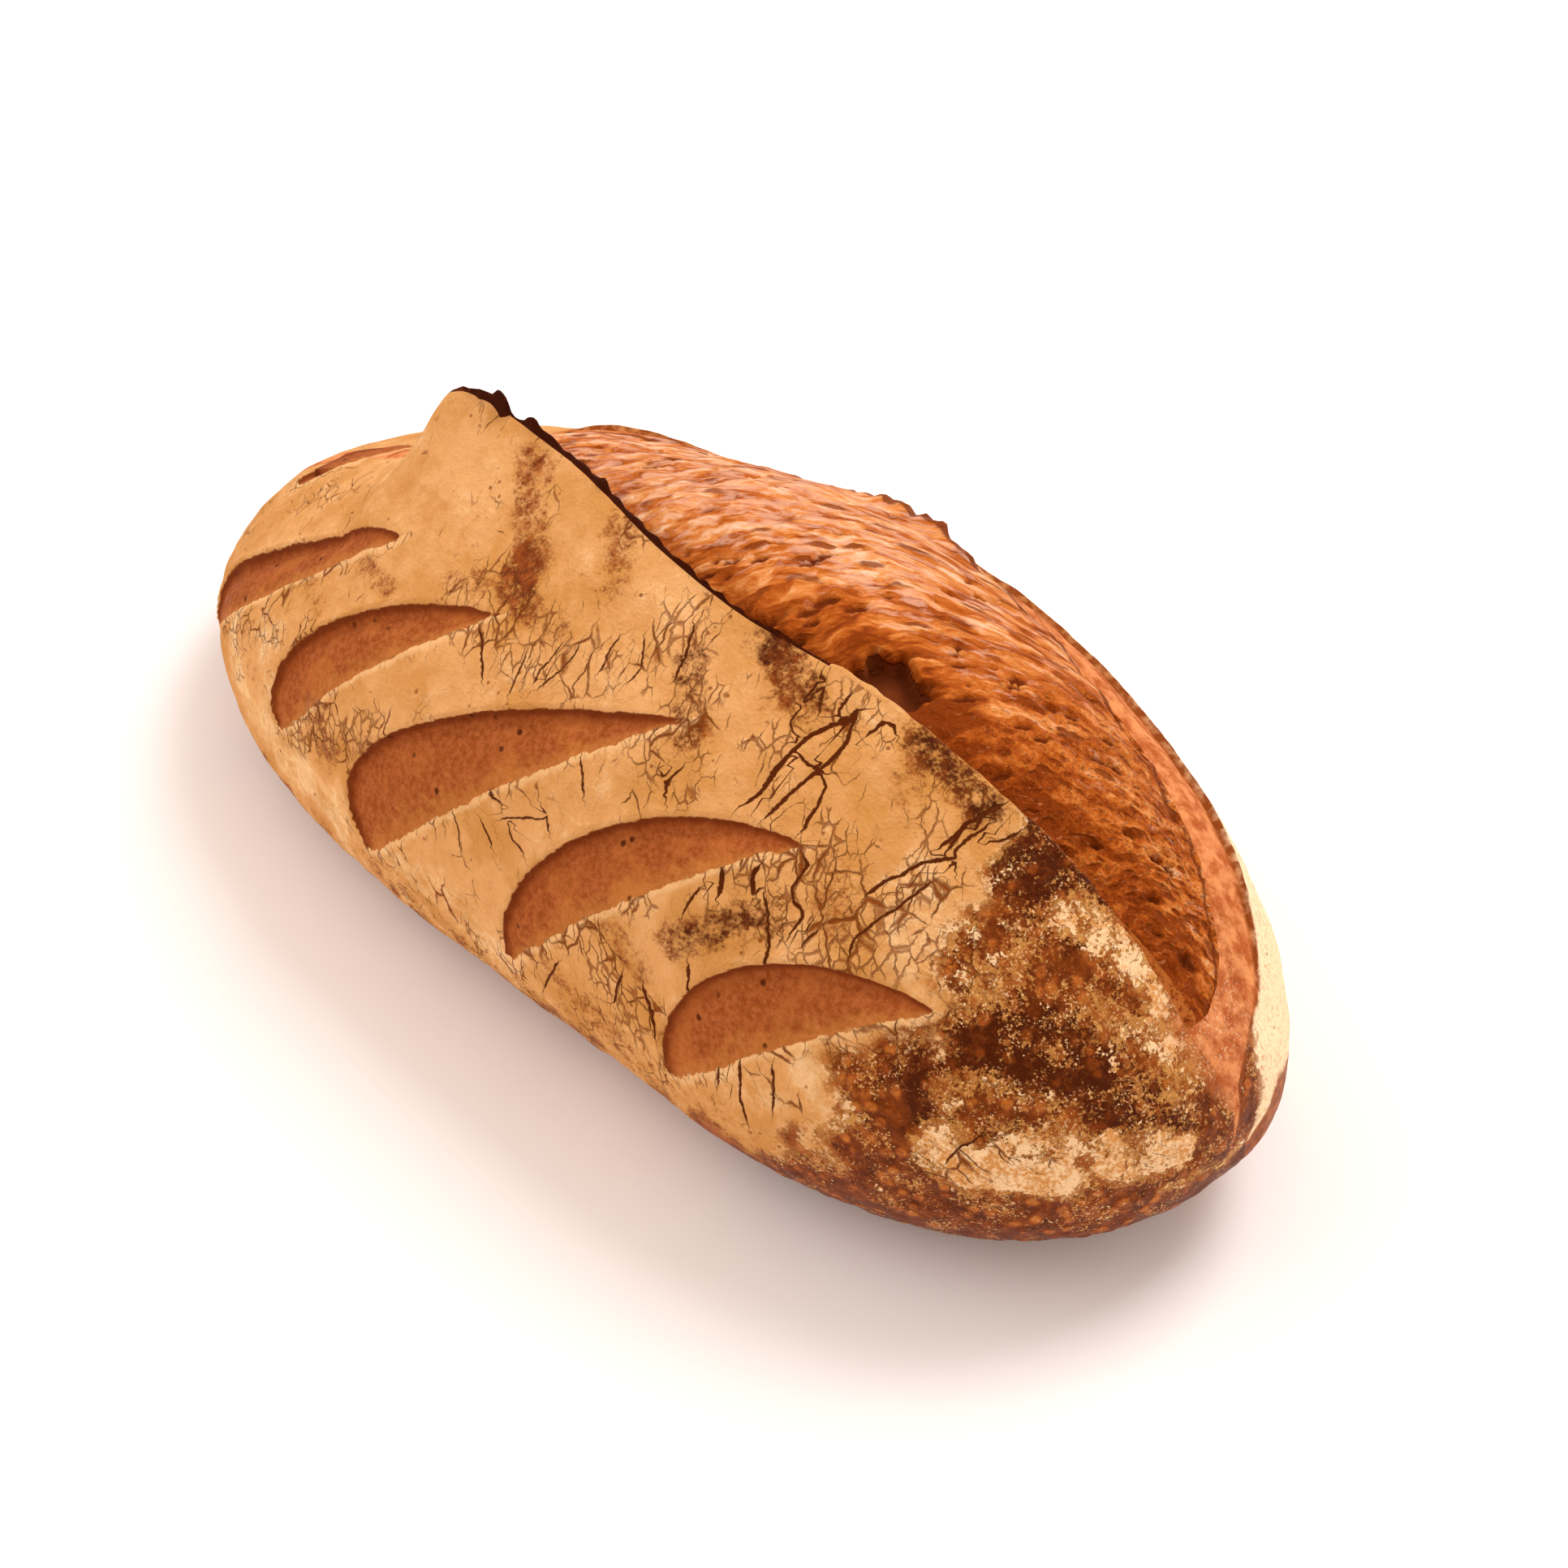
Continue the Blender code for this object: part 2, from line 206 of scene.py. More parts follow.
# the grid the loaf is sculpted from: rings from the far end to the near one, columns round each
columnCounts = {
    "under": 5, "low": 28, "flank": 102, "lip": 4, "wall": 8, "torn": 96, "band": 10, "far": 42, "below": 5,
}
columnStart = dict(zip(columnCounts, np.cumsum([0] + list(columnCounts.values()))))
columns = sum(columnCounts.values())
edgeSpan = radians(50)  # the flank starts this far below the widest line


def ringStations():
    # equal steps along the plan outline, so the ends are meshed as finely as the middle
    s = -np.cos(np.linspace(0, pi, 6001))
    y = through(s, loaf["crustSide"]) * closing(s, through(s, loaf["planPower"]))
    arc = np.concatenate([[0], np.cumsum(np.hypot(np.diff(s * halfLength), np.diff(y)))])
    return np.interp(np.linspace(0, arc[-1], loaf["rings"] + 1)[1:-1], arc, s)


def shares(name, end=True):
    # how far across its strip each column lies, with or without one on the strip's far side
    count = columnCounts[name]
    return np.linspace(0, 1, count if end else count + 1)[None, :count]


def between(first, last, name, end=False):
    return first + (last - first) * shares(name, end)


def leafShape(t, widest):
    # height of the arched edge along a cut, 1 at its widest
    rise = (t / widest) ** (leaf["archPower"] * widest)
    return rise * ((1 - t) / (1 - widest)) ** (leaf["archPower"] * (1 - widest))


def leafLower(t, bow):
    # the lower edge: bowed, with a rounded heel at its start
    return bow / 1000 * 4 * t * (1 - t) - leaf["heel"] * 4.8 * np.sqrt(t) * (1 - t) ** 4


def leafFields(x, girth):
    # signed distance to the nearest leaf cut's outline in metres (inside is positive), the share
    # across it from its lower edge, the share along it, and the distance to its arched edge
    best = np.full(x.shape, -0.012)
    across, along = np.zeros(x.shape), np.zeros(x.shape)
    upper = np.full(x.shape, 0.05)
    for startX, startAngle, tipX, tipAngle, width, widest, bow in leaf["cuts"]:
        start = np.array([startX / 1000, loaf["girthRadius"] * radians(startAngle)])
        tip = np.array([tipX / 1000, loaf["girthRadius"] * radians(tipAngle)])
        chord = tip - start
        length = np.hypot(*chord)
        unit = chord / length
        side = np.array([-unit[1], unit[0]])
        u = ((x - start[0]) * unit[0] + (girth - start[1]) * unit[1]) / length
        v = (x - start[0]) * side[0] + (girth - start[1]) * side[1]
        close = (u > -0.2) & (u < 1.2) & (np.abs(v) < 0.045)
        t = 0.5 - 0.5 * np.cos(np.linspace(0, pi, 60))
        edges = (width / 1000 * leafShape(t, widest), leafLower(t, bow))
        uc, vc = u[close] * length, v[close]
        distance = np.full(uc.shape, 1.0)
        for k, edge in enumerate(edges):
            for a in range(len(t) - 1):
                p = np.array([t[a] * length, edge[a]])
                d = np.array([t[a + 1] * length, edge[a + 1]]) - p
                share = np.clip(((uc - p[0]) * d[0] + (vc - p[1]) * d[1]) / (d @ d), 0, 1)
                away = np.hypot(uc - p[0] - share * d[0], vc - p[1] - share * d[1])
                distance = np.minimum(distance, away)
            if k == 0:
                upperHere = distance.copy()
        tc = np.clip(u[close], 0, 1)
        top = width / 1000 * leafShape(tc, widest)
        bottom = leafLower(tc, bow)
        inside = (vc > bottom) & (vc < top) & (u[close] > 0) & (u[close] < 1)
        signed = np.where(inside, distance, -distance)
        better = signed > best[close]
        index = np.flatnonzero(close)[better]
        best.flat[index] = signed[better]
        across.flat[index] = np.clip((vc - bottom) / np.maximum(top - bottom, 1e-4), 0, 1)[better]
        along.flat[index] = tc[better]
        upper.flat[index] = upperHere[better]
    return best, across, along, upper


def surfacePoints(spots):
    # points on the plain loaf for (x mm, angle) pairs
    spots = np.array(spots, float)
    station, angle = spots[:, 0] / 1000 / halfLength, np.radians(spots[:, 1])
    past = angle > earAngle(station)
    return np.where(past[:, None], bloomPoint(station, angle, 0), crustPoint(station, angle))


def strokeDistance(points, spots, radius):
    # how close the points come to a line through the spots: 1 on it, 0 beyond the radius
    line = surfacePoints(spots)
    nearest = np.full(points.shape[:-1], 1.0)
    if len(line) == 1:
        nearest = np.linalg.norm(points - line[0], axis=-1)
    for a, b in zip(line, line[1:]):
        share = np.clip(((points - a) @ (b - a)) / ((b - a) @ (b - a)), 0, 1)
        nearest = np.minimum(nearest, np.linalg.norm(points - a - share[..., None] * (b - a), axis=-1))
    return 1 - ease(nearest, radius * 0.35, radius * 1.5)


def buildGrid():
    s = ringStations()[:, None]
    opening = scoreOpening(s)
    top = earAngle(s)
    spread = np.radians(through(s, bloom["tornSpread"]))
    band = np.radians(through(s, bloom["bandSpread"]))
    first = top + np.minimum(radians(5), spread * 0.5)
    outer = top + np.maximum(band, spread + radians(6))
    full = s + np.zeros((1, columns))

    angle = np.concatenate([
        between(-pi / 2, -edgeSpan, "under") + 0 * s,
        between(-edgeSpan, 0, "low") + 0 * s,
        between(0, top, "flank", True),
        top + 0 * shares("lip"),
        between(top, first, "wall"),
        between(first, top + spread, "torn", True),
        between(top + spread + radians(1.2), outer, "band", True),
        between(outer + radians(1.2), pi + edgeSpan, "far"),
        between(pi + edgeSpan, 1.5 * pi, "below") + 0 * s,
    ], 1)
    return full, angle, opening, spread, outer


def partSlice(name):
    return slice(columnStart[name], columnStart[name] + columnCounts[name])


stations, angles, opening, spread, outer = buildGrid()
xs = stations * halfLength
girths = loaf["girthRadius"] * angles
crustColumns = np.arange(columns) < columnStart["lip"]

edge, across, along, upperEdge = leafFields(xs, girths)
edge = np.where(crustColumns[None, :] | (opening < 0.001), edge, -0.012)
print("grid laid out:", stations.shape)


def placeGrid():
    # the bare shape before any fine relief
    tornStep = opening * through(stations, bloom["tornStep"])
    points = crustPoint(stations, angles)
    flankEnd = points[:, columnStart["lip"] - 1].copy()
    share = (angles - (angles[:, partSlice("torn")][:, :1])) / spread
    torn = bloomPoint(stations, angles, tornStep * np.clip(share, 0, 1))
    points[:, partSlice("torn")] = torn[:, partSlice("torn")]
    climb = ease((np.arange(columns) - columnStart["band"])[None, :], -1, 4)
    band = bloomPoint(stations, angles, tornStep * (1 - climb))
    points[:, partSlice("band")] = band[:, partSlice("band")]
    farShare = np.clip((angles - outer) / (pi + edgeSpan - outer), 0, 1)
    far = bloomPoint(stations, angles, opening * bloom["bandStep"] * (1 - farShare) ** 2)
    points[:, partSlice("far")] = far[:, partSlice("far")]
    points[:, partSlice("below")] = bodyPoint(stations, angles)[:, partSlice("below")]

    # the ear's free edge: rounded over its thickness, then down its hollow inside to the groove
    x = flankEnd[:, :1] * 1000
    along = np.concatenate([x, 0 * x, 0 * x], -1)
    ragged = through(x[:, 0] / 1000 / halfLength, ear["singed"])
    jag = lumps(along, 2.6, 3.1) * 0.6 + lumps(along, 5.5, 9.7) + 0.5
    rise = np.clip(jag, 0, 1.6) * ragged * ear["jag"]
    for at, tall, wide in ear["burntBits"]:
        rise += tall / 1000 * np.exp(-np.abs((x[:, 0] - at) / wide) ** 3)
    thick = ear["thickness"] * opening[:, 0] * (1 + 0.6 * lumps(along, 3.3, 5.5))
    backRise = (0.25, 0.8, 1.0, 0.5)
    lipStart = columnStart["lip"]
    for k, (out, up) in enumerate(ear["edgeRound"]):
        column = flankEnd.copy()
        column[:, 1] += out * thick
        column[:, 2] += up * thick + rise * backRise[k] * opening[:, 0]
        points[:, lipStart + k] = column
    back = points[:, lipStart + 3]
    groove = points[:, columnStart["torn"]]
    drop = back[:, 2] - groove[:, 2]
    for k in range(columnCounts["wall"]):
        t = (k + 1) / (columnCounts["wall"] + 1)
        column = back * (1 - t) + groove * t
        hollow = (ear["hollow"][0] + ear["hollow"][1] * np.maximum(drop, 0)) * np.sin(pi * t) * opening[:, 0]
        column[:, 1] -= hollow
        column[:, 2] -= 0.001 * np.sin(pi * t) * opening[:, 0]
        points[:, columnStart["wall"] + k] = column
    return points


def gridNormals(points):
    alongX = np.gradient(points, axis=0)
    alongRing = (np.roll(points, -1, axis=1) - np.roll(points, 1, axis=1)) / 2
    normal = np.cross(alongRing, alongX)
    normal /= np.maximum(np.linalg.norm(normal, axis=-1, keepdims=True), 1e-12)
    middle = np.stack([points[..., 0], 0 * points[..., 0], 0 * points[..., 0] + 0.03], -1)
    inward = np.sum((points - middle) * normal, -1)[:, partSlice("flank")].mean() < 0
    return -normal if inward else normal


points = placeGrid()
normals = gridNormals(points)
print("bare shape placed")

# cracks in the floured crust, as drawn: ((x mm, angle), ...), half width mm
cracks = (
    (((57, 82), (56, 77), (55, 74), (52, 70), (51, 64), (51, 58), (50, 54)), 0.50),
    (((56, 77), (57, 75), (59, 70), (58, 66), (57, 62), (55, 55)), 0.38),
    (((55, 74), (53, 75), (53, 78)), 0.28),
    (((53, 66), (58, 66)), 0.30),
    (((61, 75), (61, 78), (63, 79), (65, 78)), 0.34),
    (((50, 68), (47, 69), (46, 72), (47, 74)), 0.20),
    (((63, 57), (62, 62), (61, 65), (58, 66)), 0.30),
    (((89, 81), (88, 78), (87, 75), (87, 72), (86, 69)), 0.42),
    (((90, 69), (87, 67), (85, 65), (84, 62), (82, 59), (81, 55)), 0.34),
    (((90, 77), (89, 73), (89, 70), (91, 68)), 0.26),
    (((95, 80), (94, 77), (92, 75)), 0.24),
    (((66, 54), (68, 53), (68, 50), (68, 48), (70, 46), (72, 46), (73, 45), (73, 41)), 0.34),
    (((77, 45), (76, 41)), 0.26),
    (((60, 48), (60, 46), (62, 43)), 0.55),
    (((54, 43), (56, 39)), 0.48),
    (((89, 64), (88, 60), (87, 56), (85, 52), (84, 48), (85, 44)), 0.26),
    (((-28, 54), (-24, 51), (-20, 47)), 0.30),
    (((-3, 60), (-3, 57), (-4, 53), (-5, 50)), 0.15),
    (((16, 72), (18, 69), (19, 67), (21, 64)), 0.24),
    (((34, 53), (33, 49), (35, 47)), 0.24),
    (((-4, 29), (1, 27)), 0.22),
    (((48, 13), (51, 8), (53, 4)), 0.42),
    (((81, 15), (83, 5)), 0.24),
    (((117, 13), (118, 18), (120, 21), (121, 25)), 0.22),
    (((13, 44), (16, 41), (18, 39)), 0.20),
    (((-6, 29), (-3, 28), (1, 28)), 0.18),
    (((-3, 22), (0, 20), (1, 19)), 0.22),
    (((-11, 20), (-8, 17), (-7, 14)), 0.16),
    (((2, 25), (5, 27), (11, 30)), 0.15),
    (((10, 32), (12, 31), (14, 29)), 0.20),
    (((-13, 54), (-12, 50), (-11, 47)), 0.16),
    (((-7, 58), (-8, 53), (-7, 50)), 0.17),
    (((4, 64), (4, 61), (5, 58)), 0.18),
    (((4, 25), (6, 23), (10, 21)), 0.16),
    (((31, 50), (34, 49), (34, 47)), 0.24),
    (((9, 66), (12, 62), (12, 59)), 0.17),
    (((45, 78), (46, 75), (46, 72)), 0.22),
    (((41, 82), (46, 78), (50, 73)), 0.24),
    (((64, 44), (70, 38), (72, 32)), 0.30),
    (((52, 38), (51, 32)), 0.26),
    (((66, 25), (64, 16), (63, 6)), 0.26),
    (((25, 5), (20, -4)), 0.22),
    (((42, 12), (41, 5)), 0.30),
    (((57, 24), (59, 19)), 0.32),
    (((74, 12), (75, 4), (77, -2)), 0.34),
    (((69, 10), (70, 3)), 0.20),
)


def crackFields():
    # signed distance across the nearest crack and that crack's half width there, both in mm
    signed = np.full(stations.shape, 4.0)
    width = np.zeros(stations.shape)
    nearest = np.full(stations.shape, 4.0)
    wander = np.stack([lumps(points, 0.004, 1.3), lumps(points, 0.004, 7.9), lumps(points, 0.004, 4.4)], -1)
    moved = points + 0.0006 * wander
    for spots, half in cracks:
        line = surfacePoints(spots)
        steps = np.linalg.norm(np.diff(line, axis=0), axis=1)
        run = np.concatenate([[0], np.cumsum(steps)]) / steps.sum()
        for a, b, runA, runB in zip(line, line[1:], run, run[1:]):
            d = b - a
            share = np.clip(((moved - a) @ d) / (d @ d), 0, 1)
            r = np.linalg.norm(moved - a - share[..., None] * d, axis=-1) * 1000
            closer = r < nearest
            nearest[closer] = r[closer]
            sideways = np.sign(np.sum((moved - a) * np.cross(d, normals), -1))
            signed[closer] = (r * sideways)[closer]
            at = runA + (runB - runA) * share
            width[closer] = (half * np.clip(np.minimum(at, 1 - at) * 8 + 0.35, 0, 1))[closer]
    width *= 1 - ease(nearest, 2.0, 3.0)
    return signed, width


crackSide, crackHalf = crackFields()
print("cracks drawn")

# bare, scorched and floured patches: line through (x mm, angle), radius mm, strength
barePatches = (
    (((-44, 80), (-27, 67)), 5.5, 0.34),
    (((-30, 66), (-22, 60)), 5.0, 0.22),
    (((-14, 79), (-5, 70)), 4.5, 0.34),
    (((-28, 84), (-6, 82)), 2.5, 0.30),
    (((20, 68), (31, 58)), 5.0, 0.36),
    (((22, 80), (54, 81)), 5.0, 0.60),
    (((32, 77), (46, 73)), 6.0, 0.40),
    (((70, 80), (86, 79)), 5.5, 0.46),
    (((72, 74), (80, 70)), 4.0, 0.24),
    (((-62, 21), (-54, 12)), 5.0, 0.34),
    (((-99, 26), (-88, 13)), 5.0, 0.34),
    (((-120, 30), (-112, 16)), 4.0, 0.30),
    (((-70, 54), (-58, 52)), 3.0, 0.30),
    (((-42, 58), (-33, 63), (-10, 60)), 4.0, 0.28),
    (((-92, 48), (-76, 42)), 3.5, 0.22),
    (((-50, 16), (-38, 24)), 3.5, 0.26),
    (((52, 26), (68, 42)), 5.0, 0.40),
    (((34, 22), (46, 16)), 4.0, 0.24),
    (((10, 3), (42, -3)), 6.0, 0.20),
    (((-40, -6), (-10, -12), (30, -16)), 7.0, 0.24),
    (((72, 55), (84, 47)), 6.0, 0.24),
)
scorchPatches = (
    (((22, 76), (38, 80), (54, 80)), 8.0, 0.75),
    (((94, 79), (110, 79)), 8.0, 0.60),
    (((111, 46), (126, 54)), 8.0, 0.45),
    (((134, 52), (144, 39)), 6.0, 0.45),
    (((104, 36), (112, 24)), 5.0, 0.30),
    (((70, 80), (86, 80)), 4.0, 0.45),
    (((21, 67), (30, 58)), 4.0, 0.40),
    (((54, 27), (66, 41)), 4.0, 0.45),
)
flourPatches = (
    (((115, 17), (120, 11)), 5.5, 0.80),
    (((124, 12), (134, 13)), 4.5, 0.75),
    (((126, 20), (137, 24)), 6.5, 0.62),
    (((141, 22), (146, 32)), 4.0, 0.70),
    (((138, 36), (146, 44)), 2.5, 0.50),
    (((150, 10), (146, 4)), 2.0, 0.40),
    (((88, 57), (98, 56), (107, 59)), 10.0, 0.16),
    (((112, 77), (121, 80), (129, 80)), 4.5, 0.52),
    (((126, 66), (136, 66), (142, 60)), 6.0, 0.22),
    (((132, 76), (141, 72)), 4.0, 0.35),
    (((88, 19), (97, 13)), 5.0, 0.30),
    (((70, 6), (84, 8)), 4.0, 0.20),
    (((-104, 34), (-84, 10), (-40, -4), (10, -6)), 13.0, 0.24),
    (((112, 30), (116, 36)), 4.0, 0.30),
    (((129, 128), (141, 120)), 9.0, 0.40),
)
# where the crust crazed: the same, strength in mm of half crack width
crazedPatches = (
    (((50, 76), (55, 58)), 12.0, 0.16),
    (((84, 77), (80, 54)), 12.0, 0.18),
    (((64, 50), (78, 40)), 9.0, 0.22),
    (((-34, 60), (2, 57)), 12.0, 0.20),
    (((16, 70), (34, 50)), 10.0, 0.24),
    (((-66, 12), (-40, 26)), 8.0, 0.26),
    (((-24, -4), (52, -8)), 9.0, 0.20),
    (((-100, 18), (-66, 32)), 9.0, 0.20),
    (((28, 16), (48, 6)), 8.0, 0.28),
    (((-120, 66), (-92, 60)), 9.0, 0.16),
    (((88, 50), (100, 60)), 12.0, 0.20),
    (((118, 12), (124, 24)), 6.0, 0.20),
)
# where the floured flank gives way to bare caramel crust: (angle, x mm)
caramelEdge = (
    (-60, 62), (-20, 72), (-10, 80), (0, 88), (10, 93), (30, 95), (43, 102), (53, 96), (66, 94), (80, 92),
)
baking = {
    "flour": 0.84,  # on the flank, where 1 is thick and 0 is none
    "flourLostLow": 0.52,
    "flourLostBare": 0.68,
    "flourRubbedLow": 0.55,
    "farFlour": (0.08, 0.72),  # on the far side: below the tide line, and more above it
    "tideLine": (0.010, 0.030),  # its height, and how much it climbs to the near end
    "roast": 0.32,  # on the flank, where 1 is near black
    "roastBare": 0.32,
    "roastLow": 0.12,
    "roastRubbed": 0.25,
    "crazed": -0.23,  # away from the crazed patches
    "crumbFrom": (38, 98),  # x mm over which strands give way to open crumb
    # the far side's pale cream flour: partly thicker flour, partly painted light where the light falls
    # strongest
    "creamFrom": (40, 110),  # x mm over which the far side's flour turns creamy
}


def addPatches(field, patches):
    for spots, radius, strength in patches:
        field = field + strength * strokeDistance(points, spots, radius / 1000)
    return field


def bakingFields():
    degrees = np.degrees(angles)
    xMm = xs * 1000
    caramel = ease(xMm - through(degrees, caramelEdge) + 9 * lumps(points, 0.010, 6.7, 3), -5, 7)
    caramel *= 1 - ease(degrees, 100, 125)
    lowSide = ease(-degrees, 10, 44)
    flour = baking["flour"] - baking["flourLostLow"] * lowSide - baking["flourLostBare"] * caramel
    rubbed = addPatches(0 * xs, barePatches)
    lowRub = ease(lumps(points, 0.009, 3.9, 2), -0.10, 0.40)
    flour = flour - rubbed - baking["flourRubbedLow"] * ease(-degrees, -2, 20) * lowRub
    flour = addPatches(flour, flourPatches)
    farSide = ease(degrees, 128, 150)
    tideLine = baking["tideLine"][0] + baking["tideLine"][1] * ease(xMm, 118, 150)
    tideLine = tideLine + 0.004 * lumps(points, 0.016, 8.3, 2)
    above = ease(points[..., 2], tideLine - 0.003, tideLine + 0.006)
    farFlour = baking["farFlour"][0] + baking["farFlour"][1] * above
    flour = flour * (1 - farSide) + farSide * farFlour
    flour += 0.08 * lumps(points, 0.030, 2.2)
    flour += farSide * 0.28 * lumps(points, 0.022, 5.2, 3)
    roast = baking["roast"] + baking["roastBare"] * caramel + baking["roastLow"] * lowSide
    roast = addPatches(roast + baking["roastRubbed"] * rubbed, scorchPatches)
    crazed = np.where(crustColumns[None, :], addPatches(baking["crazed"] + 0 * xs, crazedPatches), -1)
    # how patchily the flour lies
    wild = np.clip(0.8 * rubbed + 0.35 * caramel + 0.35 * ease(-degrees, -8, 16), 0, 1)
    return np.clip(flour, 0, 1.3), np.clip(roast, 0, 1), caramel, crazed, wild


flour, roast, caramel, crazed, wild = bakingFields()
crumbZone = ease(xs * 1000, *baking["crumbFrom"])

# the smooth stretched skin between the torn part and the far crust runs down over the near end
bandMask = np.zeros(stations.shape)
bandMask[:, partSlice("band")] = 1
nearEnd = ease(stations, 0.86, 0.92)
wrap = ease(np.degrees(angles), 70, 84) * nearEnd
bandMask = np.maximum(bandMask, wrap * (angles < outer))
print("flour and scorch laid")

pores = {
    # x mm, angle, half length mm, half width mm
    "hand": ((65, 108, 3.2, 1.2), (90, 117, 3.0, 1.2), (117, 95, 2.6, 1.1), (129, 92, 3.2, 1.8),
             (27, 92, 3.6, 1.1), (30, 84, 2.4, 1.0), (7, 92, 2.4, 0.9), (103, 92, 1.8, 0.9)),
    "scattered": 130,
    "slant": radians(58),  # their long axis, from the loaf's length towards the girth
    "seed": 11,
    "depth": 0.0018,
}

# the one big hole right behind the ear: x mm, angle, half length and half width mm, depth m
bubble = {"x": 50, "angle": 89, "halfLong": 8.5, "halfWide": 5.6, "depth": 0.0066}

# unevenness, each layer: height m, lump size m, shift, octaves
relief = {
    "body": ((0.0009, 0.045, 0.7, 1), (0.00035, 0.014, 4.1, 1)),
    "crust": ((0.00020, 0.0042, 9.2, 2), (0.00035, 0.0085, 1.4, 1)),
    "rolls": ((0.0009, 0.013, 3.3, 1),),
    "coarseStrand": (0.00052, 0.0046),
    "fineStrand": (0.00034, 0.0026),
    "crumb": (0.00070, 0.0030),
    "blister": (0.00030, 0.0040),
    "cakedFlour": (0.0004, 0.0003),  # least, and more in lumps
    "crack": (0.00075, 0.75),  # depth m, half width mm
    "nick": 0.0011,  # depth of the notches in the torn rim
    "flap": (0.0026, 0.0024),  # rise of the ragged flap at the back, and its raggedness
}


def layered(layers):
    return sum(tall * lumps(points, size, shift, octaves) for tall, size, shift, octaves in layers)


def strandPlace():
    # coordinates along and across the stretched strands, in metres: they leave the ear almost
    # square to it and lean towards the near end farther out
    past = np.maximum(girths - loaf["girthRadius"] * earAngle(stations), 0)
    sway = 0.005 * lumps(points, 0.035, 6.1) + 0.0012 * lumps(points, 0.011, 2.6)
    return past, 0.84 * (0.25 * past + 8.3 * past**2 - xs) + sway


def bloomRelief(u, v):
    # stretched crumb: long strands with troughs between, then open pores
    flat = 0 * u
    coarseTall, coarseSize = relief["coarseStrand"]
    fineTall, fineSize = relief["fineStrand"]
    crumbTall, crumbSize = relief["crumb"]
    coarse = lumps(np.stack([u / 2.1, v, flat], -1), coarseSize, 1.7, 2)
    fine = lumps(np.stack([u / 2.2, v, flat], -1), fineSize, 8.8, 2)
    crumb = lumps(points, crumbSize, 6.4, 2)
    stretched = coarseTall * coarse + fineTall * fine
    raised = stretched * (1 - crumbZone) + crumbZone * (crumbTall * crumb + 0.3 * stretched)
    raised += layered(relief["rolls"])
    rng = np.random.default_rng(pores["seed"])
    spots = list(pores["hand"])
    for k in range(pores["scattered"]):
        x = rng.uniform(-70, 128)
        past = rng.uniform(4, 52)
        size = rng.uniform(0.6, 1.5)
        fromEar = np.degrees(earAngle(np.array(x / 1000 / halfLength)))
        spots.append((x, fromEar + past, size * 2.2, size * 0.75))
    pit = np.zeros(u.shape)
    a = pores["slant"]
    for x, degree, longHalf, shortHalf in spots:
        g = loaf["girthRadius"] * radians(degree)
        du = ((xs - x / 1000) * cos(a) + (girths - g) * sin(a)) * 1000 / longHalf
        dv = (-(xs - x / 1000) * sin(a) + (girths - g) * cos(a)) * 1000 / shortHalf
        q = np.hypot(du, dv)
        pit = np.maximum(pit, (1 - ease(q, 0.35, 1.25)) * min(1.0, shortHalf * 1.25))
    return raised, pit


def burstBubble():
    # 1 inside the hole, 0 outside
    overGirth = (girths - loaf["girthRadius"] * radians(bubble["angle"])) * 1000
    q = np.hypot((xs * 1000 - bubble["x"]) / bubble["halfLong"], overGirth / bubble["halfWide"])
    q += 0.34 * lumps(points, 0.0045, 2.9)
    return 1 - ease(q, 0.84, 0.98)


def leafRelief():
    # a cut's floor sinks away from its edge and deepens to the arch, and the crust stands up round it
    inside = edge > -0.0009
    taper = 0.30 + 0.70 * np.sin(pi * np.clip(along, 0, 1)) ** 0.5
    depth = leaf["depth"] + leaf["undercut"] * across**1.5 - leaf["belly"] * 4 * across * (1 - across)
    floor = -depth * taper * ease(edge, -0.0009, 0.0026) / 1000
    archLip, lowLip = leaf["lips"]
    lipUp = archLip * np.exp(-((edge * 1000 / 1.6) ** 2)) * ease(across, 0.4, 0.9)
    lipUp *= ease(0.95 - along, 0, 0.3)
    lipLow = lowLip * np.exp(-((edge * 1000 / 1.0) ** 2))
    outside = np.maximum(lipUp, lipLow) / 1000
    return np.where(inside, floor, 0) + np.where(edge > -0.006, outside, 0) * ease(-edge, -0.0008, 0.0004)


